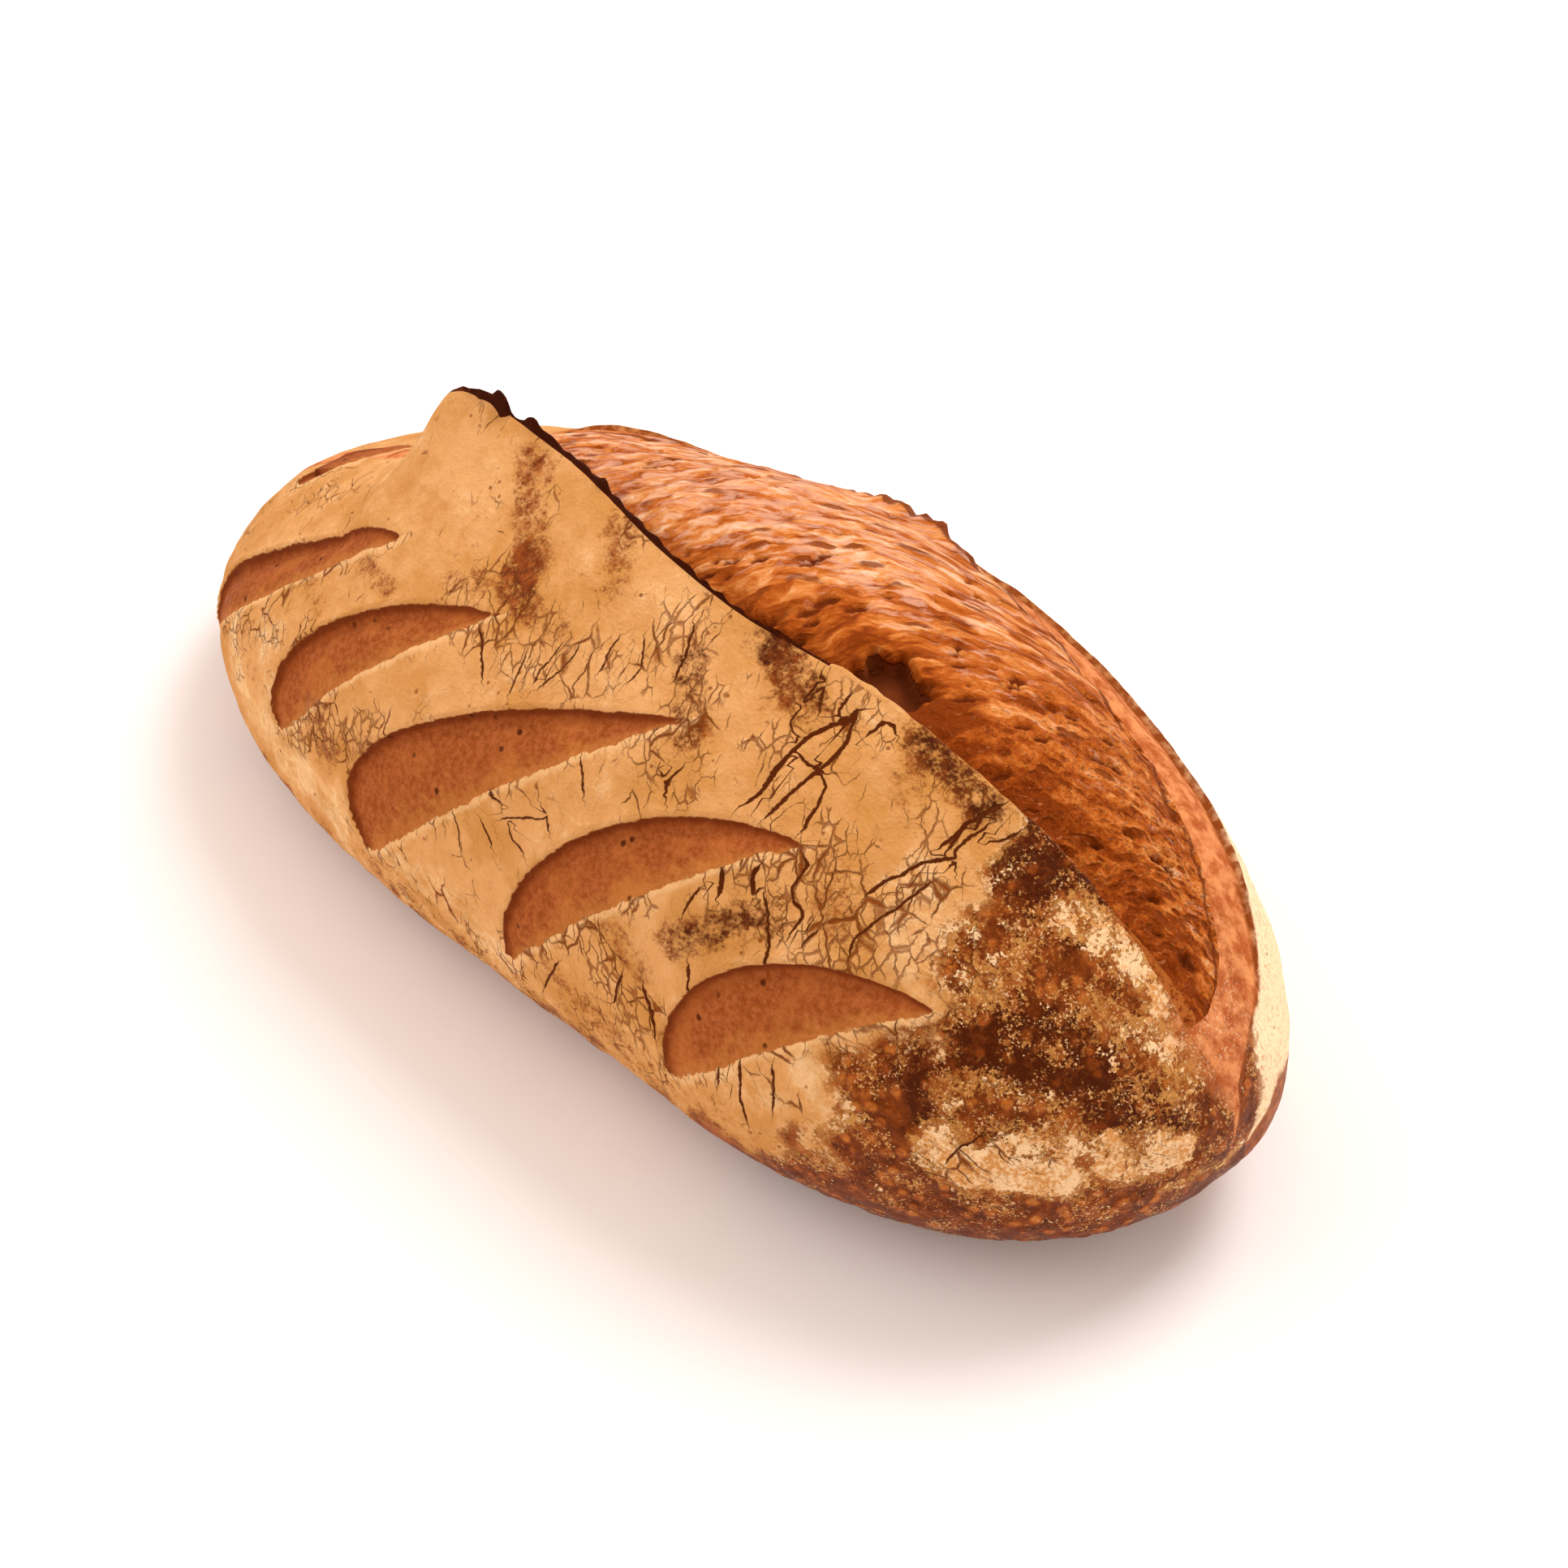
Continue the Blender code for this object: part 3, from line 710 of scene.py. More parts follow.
def sculpt():
    u, v = strandPlace()
    fromNotch = (angles - (angles[:, partSlice("torn")][:, -1:])) * loaf["girthRadius"] * 1000
    torn = np.zeros(stations.shape)
    torn[:, partSlice("torn")] = 1
    torn *= ease(stations, -0.68, -0.60) * (1 - ease(stations, 0.885, 0.915))
    raised, pit = bloomRelief(u, v)
    hole = burstBubble() * torn
    height = layered(relief["body"])
    height += (1 - torn) * layered(relief["crust"])
    height += torn * (raised - pores["depth"] * pit) * (1 - hole) - bubble["depth"] * hole
    height += leafRelief() * crustColumns[None, :]
    blisterTall, blisterSize = relief["blister"]
    blister = np.clip(0.62 - cellDistance(points, blisterSize, 2.5), 0, 1) / 0.62
    height += crustColumns[None, :] * (edge < -0.0005) * caramel * blisterTall * blister
    caked = ease(flour, 0.75, 1.1) * caramel
    cakedLeast, cakedMore = relief["cakedFlour"]
    height += caked * crustColumns[None, :] * (cakedLeast + cakedMore * lumps(points, 0.004, 7.1))
    crackDepth, crackWide = relief["crack"]
    groove = np.exp(-((crackSide / crackWide) ** 2)) * np.clip(crackHalf / 0.45, 0, 1.2)
    height -= crustColumns[None, :] * (edge < 0) * crackDepth * groove

    # ragged torn rim where the strands end, nicked every few millimetres
    along = np.stack([xs, 0 * xs, 0 * xs], -1)
    nick = np.clip(lumps(along, 0.0042, 1.9) * 1.4 + 0.2, 0, 1)
    rim = np.exp(-(((fromNotch + 0.9) / 1.3) ** 2)) * opening
    height -= rim * nick * relief["nick"] * (torn + bandMask)
    flap = np.exp(-(((xs * 1000 - 12) / 17) ** 4)) * np.exp(-(((fromNotch + 1.4) / 2.4) ** 2))
    ragged = np.clip(lumps(along, 0.0036, 6.6) + 0.5 * lumps(points, 0.003, 2.6), -0.45, 1)
    height += torn * flap * (relief["flap"][0] + relief["flap"][1] * ragged)
    return height, torn, pit, hole, fromNotch, flap


height, torn, pit, hole, fromNotch, flap = sculpt()
taperEnds = ease(1 - np.abs(stations), 0.0, 0.004)
points = points + normals * (height * taperEnds)[..., None]
points[..., 2] = np.maximum(points[..., 2], 0)
print("relief sculpted")


def makeLoaf():
    # a sphere with the grid's rings and columns, and which of them each of its points is on
    bpy.ops.object.select_all(action="DESELECT")
    bpy.ops.mesh.primitive_uv_sphere_add(segments=columns, ring_count=loaf["rings"], radius=1)
    piece = bpy.context.object
    piece.name = "sourdoughLoaf"
    piece.data.name = "sourdoughLoaf"
    mesh = piece.data
    count = len(mesh.vertices)
    co = np.empty(count * 3)
    mesh.vertices.foreach_get("co", co)
    co = co.reshape(-1, 3)
    ring = np.rint(np.arccos(np.clip(co[:, 2], -1, 1)) / pi * loaf["rings"]).astype(int)
    column = np.rint(np.arctan2(co[:, 1], co[:, 0]) / (2 * pi) * columns).astype(int) % columns
    return piece, ring, column


loafPiece, ringOf, columnOf = makeLoaf()
lastRing = loaf["rings"]
onPole = (ringOf == 0) | (ringOf == lastRing)
rowOf = np.clip(ringOf - 1, 0, lastRing - 2)
placed = points[rowOf, columnOf]
for ringEnd, sign in ((0, -1), (lastRing, 1)):
    pole = ringOf == ringEnd
    row = 0 if sign < 0 else -1
    middle = points[row].mean(0)
    placed[pole] = (sign * halfLength, middle[1], middle[2])

# the design runs lopsided round y = 0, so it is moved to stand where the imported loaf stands
designMiddle = (placed[:, 1].min() + placed[:, 1].max()) / 2
shiftY = (low.y + high.y) / 2 - designMiddle
placed[:, 1] += shiftY
loafPiece.data.vertices.foreach_set("co", placed.ravel())


def storeField(name, grid):
    values = np.asarray(grid, np.float32)[rowOf, columnOf]
    made = loafPiece.data.attributes.new(name, "FLOAT", "POINT")
    made.data.foreach_set("value", values.ravel())


def storeVector(name, grids):
    values = np.stack([np.asarray(g, np.float32)[rowOf, columnOf] for g in grids], -1)
    made = loafPiece.data.attributes.new(name, "FLOAT_VECTOR", "POINT")
    made.data.foreach_set("vector", values.ravel())


strandU, strandV = strandPlace()
storeVector("strand", (strandU, strandV, 0 * strandU))
storeVector("skin", (xs, girths, 0 * xs))
farCrust = (np.arange(columns) >= columnStart["far"]) * (1 - ease(np.degrees(angles), 188, 212))
# darker next to the ear: painted shade of the ear, growing towards the near end and taken off the bloom's
# tone
nearEar = 1 - ease(girths - loaf["girthRadius"] * earAngle(stations), 0.002, 0.026)
paintedEarShade = nearEar * (0.10 + 0.36 * ease(xs * 1000, -20, 40))
# a dark line along the step where the band meets the far crust: painted shade under the step's edge
bandStepShade = np.zeros(stations.shape)
bandStepShade[:, columnStart["far"] - 1:columnStart["far"] + 1] = 1
fields = {
    "flour": flour,
    "roast": roast,
    "caramel": caramel,
    "crazed": crazed,
    "wild": wild,
    "flap": flap,
    "hole": hole,
    "paleFlourAndLight": farCrust * ease(xs * 1000, *baking["creamFrom"]),
    "crumb": crumbZone,
    "palerAndEarShade": through(xs * 1000, bloom["palerAlong"]) - paintedEarShade,
    "bandStepShade": bandStepShade * ease(opening, 0, 0.2) + bandStepShade * nearEnd,
    "leafEdge": np.clip(edge * 1000, -10, 10),
    "leafAcross": across,
    "leafUpper": np.clip(upperEdge * 1000, 0, 20),
    "crackSide": crackSide,
    "crackHalf": crackHalf,
    "band": bandMask,
    "fromNotch": np.clip(fromNotch, -30, 30),
    "pit": np.maximum(pit, hole) * torn,
    "singe": through(stations, ear["singed"]) + 0 * xs,
}
for name, grid in fields.items():
    storeField(name, grid)

bpy.ops.object.mode_set(mode="EDIT")
bpy.ops.mesh.select_all(action="SELECT")
bpy.ops.mesh.normals_make_consistent(inside=False)
bpy.ops.mesh.faces_shade_smooth()
bpy.ops.object.mode_set(mode="OBJECT")
print("loaf meshed:", len(loafPiece.data.polygons), "faces")


def linear(hexColor):
    # sRGB hex to linear
    parts = [int(hexColor[i:i + 2], 16) / 255 for i in (1, 3, 5)]
    return [c / 12.92 if c <= 0.04045 else ((c + 0.055) / 1.055) ** 2.4 for c in parts] + [1]


def mm(size):
    # a pattern's scale for features this many millimetres across
    return 1000 / size


# a word for each node in use: its type, its settings, and the inputs that values go to in turn
# any other word is a maths operation
nodeWords = {
    "place": ("TexCoord", {}, ()),
    "field": ("Attribute", {}, ()),
    "noise": ("TexNoise", {}, ("Vector", "Scale", "Detail", "Roughness")),
    "cells": ("TexVoronoi", {"feature": "F1"}, ("Vector", "Scale", "Smoothness")),
    "lay": ("Mapping", {}, ("Vector", "Scale", "Rotation")),
    "bend": ("VectorMath", {"operation": "MULTIPLY_ADD"}, (0, 1, 2)),
    "step": ("MapRange", {"interpolation_type": "SMOOTHSTEP"}, (0, 1, 2, 3, 4)),
    "blend": ("Mix", {"data_type": "FLOAT"}, (0, 2, 3)),
    "mix": ("Mix", {"data_type": "RGBA"}, (0, 6, 7)),
    "ramp": ("ValToRGB", {}, ("Fac",)),
    "split": ("SeparateColor", {}, ("Color",)),
    "bump": ("Bump", {}, ("Height", "Distance", "Strength")),
    "shader": ("BsdfPrincipled", {}, ("Base Color", "Roughness", "Normal", "IOR", "Specular IOR Level",
                                      "Specular Tint")),
    "output": ("OutputMaterial", {}, ("Surface",)),
}


def addNode(tree, word, *values, out=None, stops=(), **settings):
    # one node with its settings and links; gives back the output that is asked for
    kind, usual, places = nodeWords.get(word, ("Math", {"operation": word}, (0, 1, 2)))
    node = tree.nodes.new("ShaderNode" + kind)
    for name, value in {**usual, **settings}.items():
        setattr(node, name, value)
    for place, value in zip(places, values):
        if isinstance(value, bpy.types.NodeSocket):
            tree.links.new(value, node.inputs[place])
        else:
            node.inputs[place].default_value = linear(value) if isinstance(value, str) else value
    for k, (position, color) in enumerate(stops):
        if k >= len(node.color_ramp.elements):
            node.color_ramp.elements.new(1.0)
        node.color_ramp.elements[k].position = position
        node.color_ramp.elements[k].color = linear(color)
    return node.outputs[out] if out else next((o for o in node.outputs if o.enabled), None)


def newFinish(name):
    # a new material, and addNode for its tree
    material = bpy.data.materials.new(name)
    material.use_nodes = True
    material.node_tree.nodes.clear()
    return material, partial(addNode, material.node_tree)


def surface(add, color, roughness, height, depthMm, specular):
    # baked crust: no clear coat, and its faint shine is tinted by the skin under it
    bump = add("bump", height, depthMm / 1000, 1.0)
    add("output", add("shader", color, roughness, bump, 1.45, specular, "#E39A66"))


def swing(add, value, scale, base=0.0):
    # base plus a noise's swing about its middle
    return add("MULTIPLY_ADD", add("SUBTRACT", value, 0.5), scale, base)


def crazing(add, skin, cellMm, openMm, soft):
    # cracks between plates cellMm across and twice as long, openMm wide at each place
    bend = add("noise", skin, mm(cellMm), 3, out="Color")
    bent = add("bend", bend, (cellMm * 0.0009, cellMm * 0.0009, 0), skin)
    laid = add("lay", bent, (1, 1.9, 1), (0, 0, radians(24)), vector_type="TEXTURE")
    web = add("cells", laid, mm(cellMm), feature="DISTANCE_TO_EDGE")
    across = add("MULTIPLY", web, cellMm)
    return add("step", add("SUBTRACT", openMm, across), -soft, soft)


# wheat crust, floured in the proofing basket and baked: matt flour over a caramelised skin,
# dark where the flour rubbed off, crazed where the crust stretched as the loaf sprang
crust = {
    "fields": ("flour", "roast", "caramel", "crazed", "wild", "paleFlourAndLight", "bandStepShade", "band", "leafEdge",
               "leafAcross", "leafUpper", "crackSide", "crackHalf"),
    "bare": ((0.0, "#C06F2A"), (0.28, "#9A4D1B"), (0.55, "#78360F"), (1.0, "#471906")),
    "flour": ((0.30, "#B5743A"), (0.58, "#CD9050"), (0.80, "#DA9F62"), (1.0, "#ECC490")),
    "thickFlour": "#EDB57A",
    "thinFlour": "#C4853F",
    "creamFlour": ("#D2914F", "#F6CF9E"),
    # the palest far-side flour is partly painted light
    "farFlour": ("#EDB98C", "#FFE2B8"),
    "dust": ("#9C5420", "#D0934C"),
    "salt": "#EFC594",
    "dots": "#7C3C14",
    "band": ("#B25A2A", "#E3935B"),
    "bandSalt": "#F0CDA6",
    # painted shade along the band's outer step
    "bandStepShade": "#8A4217",
    # pale flour with a painted highlight on the cuts' lower lip
    "leafLipFlourAndHighlight": "#F0C189",
    "leafFloor": ("#8F451B", "#AF6032"),
    "leafPale": "#C27236",
    # lighter patches towards the cut's lower edge
    "leafPaleTowardsLow": "#C9853F",
    # painted shade in the pores of the cuts' floor
    "leafPore": "#5C2710",
    # painted shade under the arched edge of the cuts
    "leafPaintedShade": ("#863B14", "#68290C"),
    "cracks": ("#7E3A0C", "#562208"),
    "roughness": (0.50, 0.95),  # bare, floured
}


def flouredCrustFinish():
    material, add = newFinish("flouredCrust")
    place = add("place", out="Object")
    skin = add("field", out="Vector", attribute_name="skin")
    own = {name: add("field", out="Fac", attribute_name=name) for name in crust["fields"]}
    caramel = own["caramel"]

    # real flour is finer than these grains, which are drawn coarse enough to show
    speck = add("noise", place, mm(0.8), 2, 0.6)
    blotch = add("noise", place, mm(2.8), 3, 0.65)
    cloud = add("noise", place, mm(9), 2)
    wide = add("noise", place, mm(30), 1)

    # where flour lies: the laid amount against coarse and fine grain, wilder on the bare end
    wild = add("MULTIPLY_ADD", own["wild"], 1.7, 0.55)
    amount = add("MULTIPLY_ADD", swing(add, blotch, 1.0), wild, own["flour"])
    amount = add("MULTIPLY_ADD", swing(add, speck, 0.6), wild, amount)
    amount = swing(add, cloud, 0.55, amount)
    floured = add("step", amount, 0.24, 0.66)
    saltGrains = add("step", add("noise", place, mm(0.55), 1), 0.60, 0.70)
    saltPatches = add("step", add("noise", place, mm(7), 2), 0.42, 0.60)
    salt = add("MULTIPLY", add("MULTIPLY", saltGrains, saltPatches), caramel)
    flecks = swing(add, add("noise", place, mm(1.1), 5, 0.8), 2.6, own["flour"])
    flecks = swing(add, add("noise", place, mm(7), 3), 1.5, flecks)
    dust = add("MULTIPLY", add("step", flecks, 0.26, 0.42, 0.0, 0.85), caramel)
    clump = swing(add, add("noise", place, mm(4.5), 5, 0.7), 2.9, own["flour"])
    clump = add("step", swing(add, add("noise", place, mm(0.9), 2, 0.6), 1.3, clump), 0.54, 0.72)
    floured = add("blend", caramel, floured, clump)

    # bare crust: amber to near black with the roast, with paler blisters on the near end
    blisters = add("step", add("cells", place, mm(4.0)), 0.20, 0.45, 1.0, 0.0)
    blister = add("MULTIPLY", blisters, caramel)
    roast = swing(add, add("noise", place, mm(3), 5, 0.7), 1.9, own["roast"])
    roast = add("MULTIPLY_ADD", blister, -0.46, roast)
    bare = add("ramp", roast, stops=crust["bare"])
    flourColor = add("ramp", add("MULTIPLY", amount, 0.87), stops=crust["flour"])
    thick = add("step", wide, 0.35, 0.7, 0.0, 0.35)
    flourColor = add("mix", thick, flourColor, crust["thickFlour"])
    thin = add("step", add("noise", place, mm(17), 4, 0.65), 0.44, 0.62, 0.0, 0.65)
    flourColor = add("mix", thin, flourColor, crust["thinFlour"])
    creamGrain = swing(add, speck, 0.8, add("noise", place, mm(6), 4, 0.7))
    cream = add("mix", add("step", creamGrain, 0.34, 0.62), *crust["creamFlour"])
    flourColor = add("mix", add("MULTIPLY", clump, caramel), flourColor, cream)
    # far side towards the near end: pale cream flour, partly thicker flour and partly painted light
    paleGrain = add("noise", place, mm(1.0), 3, 0.7)
    palestFlourAndLight = add("mix", add("step", paleGrain, 0.34, 0.50), *crust["farFlour"])
    flourColor = add("mix", own["paleFlourAndLight"], flourColor, palestFlourAndLight)
    dustGrain = add("noise", place, mm(3), 3, 0.7)
    dustColor = add("mix", add("step", dustGrain, 0.38, 0.64), *crust["dust"])
    color = add("mix", dust, bare, dustColor)
    color = add("mix", floured, color, flourColor)
    color = add("mix", add("MULTIPLY", salt, 0.7), color, crust["salt"])

    # dark dots where the flour has gone from the tips of small bumps
    dots = add("cells", place, mm(3.6))
    dot = add("MULTIPLY", add("step", dots, 0.17, 0.09), add("step", cloud, 0.48, 0.60))
    color = add("mix", add("MULTIPLY", dot, 0.75), color, crust["dots"])

    # stretched smooth skin between the torn part and the far crust
    bandGrain = add("noise", place, mm(4), 4, 0.65)
    bandColor = add("mix", add("step", bandGrain, 0.35, 0.66), *crust["band"])
    bandColor = add("mix", add("MULTIPLY", salt, 0.6), bandColor, crust["bandSalt"])
    color = add("mix", own["band"], color, bandColor)
    # dark line along the band's outer step: painted shade under its edge
    broken = add("step", add("noise", place, mm(2.6), 3), 0.30, 0.60, 0.35, 1.0)
    color = add("mix", add("MULTIPLY", own["bandStepShade"], broken), color, crust["bandStepShade"])

    # the six leaf cuts: crust that formed on fresh dough, bare and finely grained
    crumbling = add("MULTIPLY_ADD", own["leafAcross"], -0.9, 1.3)
    ragged = add("MULTIPLY", swing(add, add("noise", place, mm(1.5), 3), 1.0), crumbling)
    wobble = add("MULTIPLY", swing(add, add("noise", place, mm(6), 3), 2.4), crumbling)
    leafEdge = add("ADD", add("ADD", ragged, wobble), own["leafEdge"])
    inLeaf = add("step", leafEdge, -0.15, 0.20)
    lowerHalf = add("step", own["leafAcross"], 0.6, 0.2)
    # pale lip below the lower edge: pale flour with a painted highlight where the rim meets the light
    lip = add("MULTIPLY", add("step", leafEdge, -2.2, -0.6), lowerHalf)
    color = add("mix", add("MULTIPLY", lip, 0.55), color, crust["leafLipFlourAndHighlight"])
    leafGrain = add("noise", place, mm(1.3), 3, 0.7)
    leafColor = add("mix", add("step", leafGrain, 0.32, 0.68), *crust["leafFloor"])
    leafColor = add("mix", add("step", cloud, 0.45, 0.70, 0.0, 0.4), leafColor, crust["leafPale"])
    # lighter patches in the cut, more towards its lower edge
    paleTowardsLow = add("SUBTRACT", swing(add, blotch, 0.9, 0.22), own["leafAcross"])
    leafColor = add("mix", add("step", paleTowardsLow, -0.15, 0.20, 0.0, 0.4), leafColor, crust["leafPaleTowardsLow"])
    # dark pores in the cut's floor: painted shade in the pits
    leafPore = add("step", add("cells", place, mm(6.0)), 0.14, 0.05)
    leafColor = add("mix", leafPore, leafColor, crust["leafPore"])
    # dark band just inside the arched edge: painted shade of the overhang
    overhang = swing(add, add("noise", place, mm(3), 2), 1.4, own["leafUpper"])
    leafColor = add("mix", add("step", overhang, 4.5, 0.4, 0.0, 0.5), leafColor, crust["leafPaintedShade"][0])
    leafColor = add("mix", add("step", overhang, 2.0, 0.3, 0.0, 0.8), leafColor, crust["leafPaintedShade"][1])
    color = add("mix", inLeaf, color, leafColor)

    # drawn cracks, then crazing in plates and finer plates
    bite = swing(add, add("noise", place, mm(0.9), 3), 0.7, own["crackSide"])
    openness = add("SUBTRACT", own["crackHalf"], add("ABSOLUTE", bite))
    crack = add("step", openness, -0.14, 0.10)
    underLeaf = add("MULTIPLY", add("step", own["leafEdge"], -8.5, -1.0), lowerHalf)
    crazed = add("MULTIPLY_ADD", underLeaf, 0.20, own["crazed"])
    gape = add("MINIMUM", swing(add, add("noise", place, mm(11), 3, 0.6), 1.7, crazed), 0.19)
    plates = crazing(add, skin, 5.2, gape, 0.15)
    fineGape = add("MINIMUM", swing(add, add("noise", place, mm(9), 3), 1.4, crazed), 0.12)
    finePlates = crazing(add, skin, 2.8, fineGape, 0.10)
    crazes = add("MAXIMUM", add("MULTIPLY", plates, 0.95), add("MULTIPLY", finePlates, 0.7))
    crazes = add("MULTIPLY", crazes, add("MULTIPLY_ADD", own["band"], -1.0, 1.0))
    split = add("MAXIMUM", crack, crazes)
    split = add("MULTIPLY", split, add("SUBTRACT", 1.0, inLeaf))
    color = add("mix", split, color, add("mix", crack, *crust["cracks"]))

    rough = add("blend", floured, *crust["roughness"])
    height = add("MULTIPLY", floured, 0.20)
    height = add("MULTIPLY_ADD", speck, 0.35, height)
    height = add("MULTIPLY_ADD", blotch, 0.45, height)
    height = add("MULTIPLY_ADD", blister, 0.35, height)
    height = add("MULTIPLY_ADD", cloud, 0.9, height)
    height = add("MULTIPLY_ADD", split, -0.5, height)
    height = add("MULTIPLY_ADD", add("MULTIPLY", leafPore, inLeaf), -0.8, height)
    surface(add, color, rough, height, 1.0, 0.2)
    return material


# torn bloom: crumb that opened in the oven and baked to copper strands with a soft sheen, a faint real gloss
# plus pale streaks of painted sheen
copper = {
    "fields": ("crumb", "palerAndEarShade", "pit", "hole", "fromNotch", "flap"),
    # stops run from painted shade in the troughs to painted sheen on the palest strands, over the crumb's own
    # copper
    "toneAndRidgeLight": ((0.04, "#853708"), (0.28, "#A84F14"), (0.50, "#C56A26"), (0.72, "#DB8A48"), (0.90, "#EBAA74"),
             (1.0, "#F3C09A")),
    # pale streaks of painted sheen
    "paintedSheen": "#F2C3A8",
    # pinhole, specks, pit and hole colours are painted shade in those hollows
    "pinhole": "#823609",
    "specks": "#86380A",
    "flecks": "#EBA068",
    "pit": "#74300E",
    "hole": ("#541F08", "#8A4420"),
    # rim colour: painted shadow along the nicked torn edge
    "rim": "#74320F",
    "roughness": (0.72, 0.56),  # dark, pale
}


def tornBloomFinish():
    material, add = newFinish("tornBloom")
    place = add("place", out="Object")
    strand = add("field", out="Vector", attribute_name="strand")
    own = {name: add("field", out="Fac", attribute_name=name) for name in copper["fields"]}
    crumb = own["crumb"]
    bend = add("noise", place, 170, 3, out="Color")
    warp = add("bend", bend, (0.003, 0.0045, 0), strand)
    laid = add("lay", warp, (0.46, 1, 1))
    strands = add("blend", crumb, add("noise", laid, mm(3.0), 6, 0.70), add("noise", place, mm(2.2), 5, 0.75))
    fibres = add("blend", crumb, add("noise", laid, mm(1.1), 3, 0.6), add("noise", place, mm(0.9), 2))
    flakes = add("cells", laid, mm(2.8), 0.3, out="Color", feature="SMOOTH_F1")
    flakeTone = add("split", flakes, out="Red")
    net = add("cells", add("lay", warp, (0.6, 1, 1)), mm(2.3), 0.4, feature="SMOOTH_F1")
    # the open crumb's pores: darkened in tone with painted shade, and sunk in the bump
    holes = add("step", net, 0.42, 0.12)
    broad = add("noise", place, mm(14), 2)
    # the tone follows the strands that also raise the surface, so raised strands come out lighter and troughs
    # darker: the crumb's own colour with painted highlight and shade
    toneAndRidgeLight = swing(add, strands, 1.3, 0.48)
    toneAndRidgeLight = swing(add, add("noise", laid, mm(6.0), 3, 0.6), 0.8, toneAndRidgeLight)
    toneAndRidgeLight = swing(add, flakeTone, 0.5, toneAndRidgeLight)
    toneAndRidgeLight = swing(add, fibres, 0.8, toneAndRidgeLight)
    toneAndRidgeLight = swing(add, broad, 0.6, toneAndRidgeLight)
    # this field carries the tone along the loaf and the painted shade beside the ear
    toneAndRidgeLight = add("ADD", toneAndRidgeLight, own["palerAndEarShade"])
    toneAndRidgeLight = add("MULTIPLY_ADD", add("MULTIPLY", holes, crumb), -0.36, toneAndRidgeLight)
    color = add("ramp", toneAndRidgeLight, stops=copper["toneAndRidgeLight"])
    # pale streaks on the strands: painted sheen
    paintedSheen = add("step", add("ADD", add("noise", laid, mm(2.4), 4, 0.65), own["palerAndEarShade"]), 0.54, 0.70)
    color = add("mix", add("MULTIPLY", paintedSheen, 0.45), color, copper["paintedSheen"])
    # pinholes: small pores darkened with painted shade
    pinholes = add("cells", add("lay", warp, (0.42, 1, 1)), mm(4.6))
    pinhole = add("MULTIPLY", add("step", pinholes, 0.29, 0.16), add("step", broad, 0.36, 0.48))
    color = add("mix", add("MULTIPLY", pinhole, 0.85), color, copper["pinhole"])
    # specks: small pits in the open crumb, darkened with painted shade
    specks = add("MULTIPLY", add("step", add("noise", place, mm(1.1), 3, 0.7), 0.57, 0.66), crumb)
    color = add("mix", add("MULTIPLY", specks, 0.6), color, copper["specks"])
    flecks = add("MULTIPLY", add("step", add("noise", laid, mm(0.9), 3, 0.7), 0.58, 0.68), crumb)
    color = add("mix", add("MULTIPLY", flecks, 0.35), color, copper["flecks"])
    # the pits and the burst bubble: painted shade in the hollows
    color = add("mix", add("step", own["pit"], 0.20, 0.75), color, copper["pit"])
    inHole = add("step", swing(add, add("noise", place, mm(1.6), 2), 0.5, own["hole"]), 0.30, 0.50)
    color = add("mix", inHole, color, add("mix", add("noise", place, mm(5), 2), *copper["hole"]))
    # dark band along the nicked rim, wider over the ragged flap: painted shadow of the torn edge
    rimPlace = swing(add, add("noise", place, mm(2.0), 3), 2.4, own["fromNotch"])
    rimReach = add("MULTIPLY_ADD", own["flap"], 2.6, 0.9)
    rim = add("step", add("SUBTRACT", add("ABSOLUTE", add("ADD", rimPlace, 0.6)), rimReach), 0.5, -0.7)
    color = add("mix", add("MULTIPLY", rim, 0.85), color, copper["rim"])
    rough = add("step", toneAndRidgeLight, 0.2, 0.9, *copper["roughness"])
    height = add("MULTIPLY_ADD", strands, 0.9, add("MULTIPLY", fibres, 0.55))
    height = add("MULTIPLY", height, add("MULTIPLY_ADD", inHole, -0.8, 1.0))
    height = add("MULTIPLY_ADD", flakeTone, 0.16, height)
    height = add("MULTIPLY_ADD", specks, -0.5, height)
    height = add("MULTIPLY_ADD", add("MULTIPLY", holes, crumb), -0.7, height)
    height = add("MULTIPLY_ADD", pinhole, -0.6, height)
    surface(add, color, rough, height, 0.9, 0.2)
    return material


# the ear's free edge and hollow inside, thin enough to char in the oven
char = ((0.1, "#B4652B"), (0.4, "#853A10"), (0.7, "#58200A"), (1.0, "#3A1306"))


def singedEarFinish():
    material, add = newFinish("singedEar")
    place = add("place", out="Object")
    singed = add("field", out="Fac", attribute_name="singe")
    singe = swing(add, add("noise", place, mm(1.8), 4, 0.75), 2.6, add("ADD", singed, 0.15))
    color = add("ramp", singe, stops=char)
    surface(add, color, 0.85, add("noise", place, mm(0.9), 3, 0.7), 0.7, 0.12)
    return material


# underside baked on a hearth stone: dry, evenly brown, pitted, with stray flour
hearth = {"baked": ("#7A431D", "#A8652F"), "dust": "#D9AE78"}


def hearthBaseFinish():
    material, add = newFinish("hearthBase")
    place = add("place", out="Object")
    color = add("mix", add("noise", place, mm(12), 4, 0.6), *hearth["baked"])
    dust = add("step", add("noise", place, mm(1.8), 3, 0.7), 0.56, 0.66)
    color = add("mix", add("MULTIPLY", dust, 0.6), color, hearth["dust"])
    surface(add, color, 0.85, add("noise", place, mm(1.4), 4, 0.7), 0.6, 0.25)
    return material


finishes = [flouredCrustFinish(), tornBloomFinish(), singedEarFinish(), hearthBaseFinish()]
loafPiece.data.materials.clear()
for finish in finishes:
    loafPiece.data.materials.append(finish)


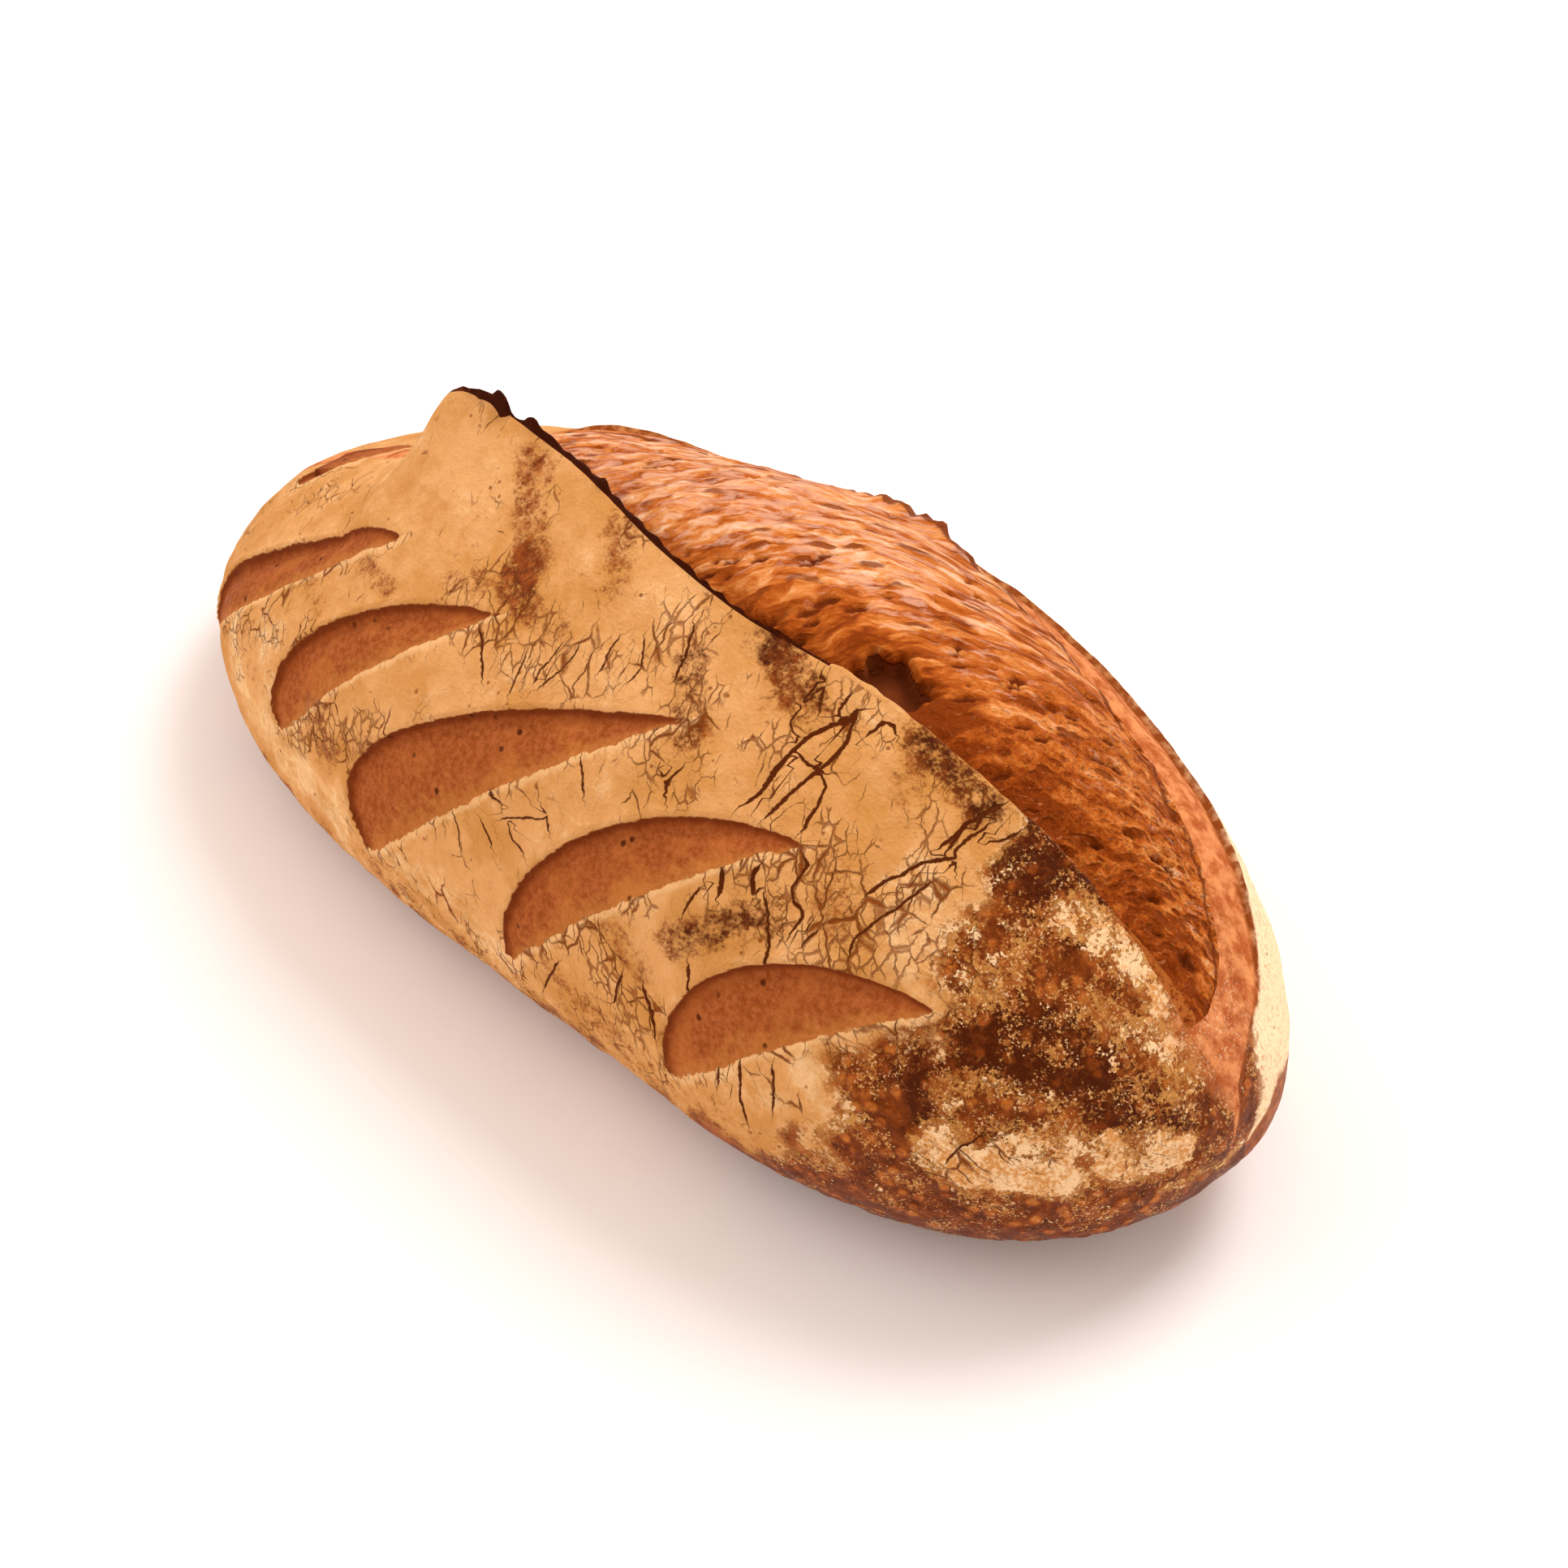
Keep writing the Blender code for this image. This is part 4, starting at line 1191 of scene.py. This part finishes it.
def assignFinishes():
    # finishes by number: 0 floured crust, 1 torn bloom, 2 singed ear, 3 hearth base
    mesh = loafPiece.data
    loops = np.empty(len(mesh.loops), int)
    mesh.loops.foreach_get("vertex_index", loops)
    starts = np.empty(len(mesh.polygons), int)
    totals = np.empty(len(mesh.polygons), int)
    mesh.polygons.foreach_get("loop_start", starts)
    mesh.polygons.foreach_get("loop_total", totals)
    corner = np.stack([loops[starts + np.minimum(k, totals - 1)] for k in range(4)], 1)
    column = columnOf[corner]
    wrapped = column.max(1) - column.min(1) > columns / 2
    first = np.where(wrapped, column.max(1), np.where(onPole[corner].any(1), columns, column.min(1)))
    station = stations[:, 0][rowOf[corner]].mean(1)
    index = np.zeros(len(starts), int)
    lip, torn, band = (columnStart[name] for name in ("lip", "torn", "band"))
    opened = (station > ear["opens"][0]) & (station < bloom["endsAt"])
    index[(first >= torn - 1) & (first < band) & opened] = 1
    index[(first >= lip - 1) & (first < torn - 1) & opened] = 2
    index[(first >= lip - 1) & (first < lip + 2) & (station > ear["charredTo"])] = 0
    index[placed[:, 2][corner].mean(1) < loaf["baseBelow"]] = 3
    mesh.polygons.foreach_set("material_index", index)


assignFinishes()
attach(loafPiece, "root")
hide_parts("loaf")
print("finishes on")

studio = {
    "azimuth": 46,
    "elevation": 45,
    "distance": 0.66,
    "aim": (0, 0, 0.035),
    "lens": 67,
    "shift": (0.037, -0.018),
    "floor": 6,
    "paper": "#FDFAF8",
    "room": "#FFF0E8",
    "roomLight": 0.87,
    "lamps": (  # name, place, size m, watts
        ("keyWindow", (0.10, 0.85, 1.45), 0.7, 14),
        ("frontFill", (-1.0, -1.0, 1.1), 1.4, 7.5),
    ),
}


def makeStudio():
    bpy.ops.object.select_all(action="DESELECT")
    bpy.ops.mesh.primitive_plane_add(size=studio["floor"])
    floor = bpy.context.object
    floor.name = "studioFloor"
    material, add = newFinish("paleBackdropPaper")
    add("output", add("shader", studio["paper"], 0.9))
    floor.data.materials.append(material)

    world = bpy.data.worlds.new("softRoom")
    world.use_nodes = True
    room = world.node_tree.nodes["Background"]
    room.inputs["Color"].default_value = linear(studio["room"])
    room.inputs["Strength"].default_value = studio["roomLight"]
    bpy.context.scene.world = world

    aim = Vector(studio["aim"])
    for name, place, size, power in studio["lamps"]:
        bpy.ops.object.light_add(type="AREA", location=place)
        light = bpy.context.object
        light.name = name
        light.data.size = size
        light.data.energy = power
        light.rotation_euler = (aim - light.location).to_track_quat("-Z", "Y").to_euler()

    bpy.ops.object.camera_add()
    camera = bpy.context.object
    a, e = radians(studio["azimuth"]), radians(studio["elevation"])
    back = Vector((sin(a) * cos(e), -cos(a) * cos(e), sin(e)))
    centre = aim + Vector((0, shiftY, 0))
    camera.location = centre + back * studio["distance"]
    camera.rotation_euler = back.to_track_quat("Z", "Y").to_euler()
    camera.data.lens = studio["lens"]
    camera.data.shift_x, camera.data.shift_y = studio["shift"]
    bpy.context.scene.camera = camera
    bpy.context.scene.view_settings.view_transform = "Standard"


makeStudio()
print("studio lit")
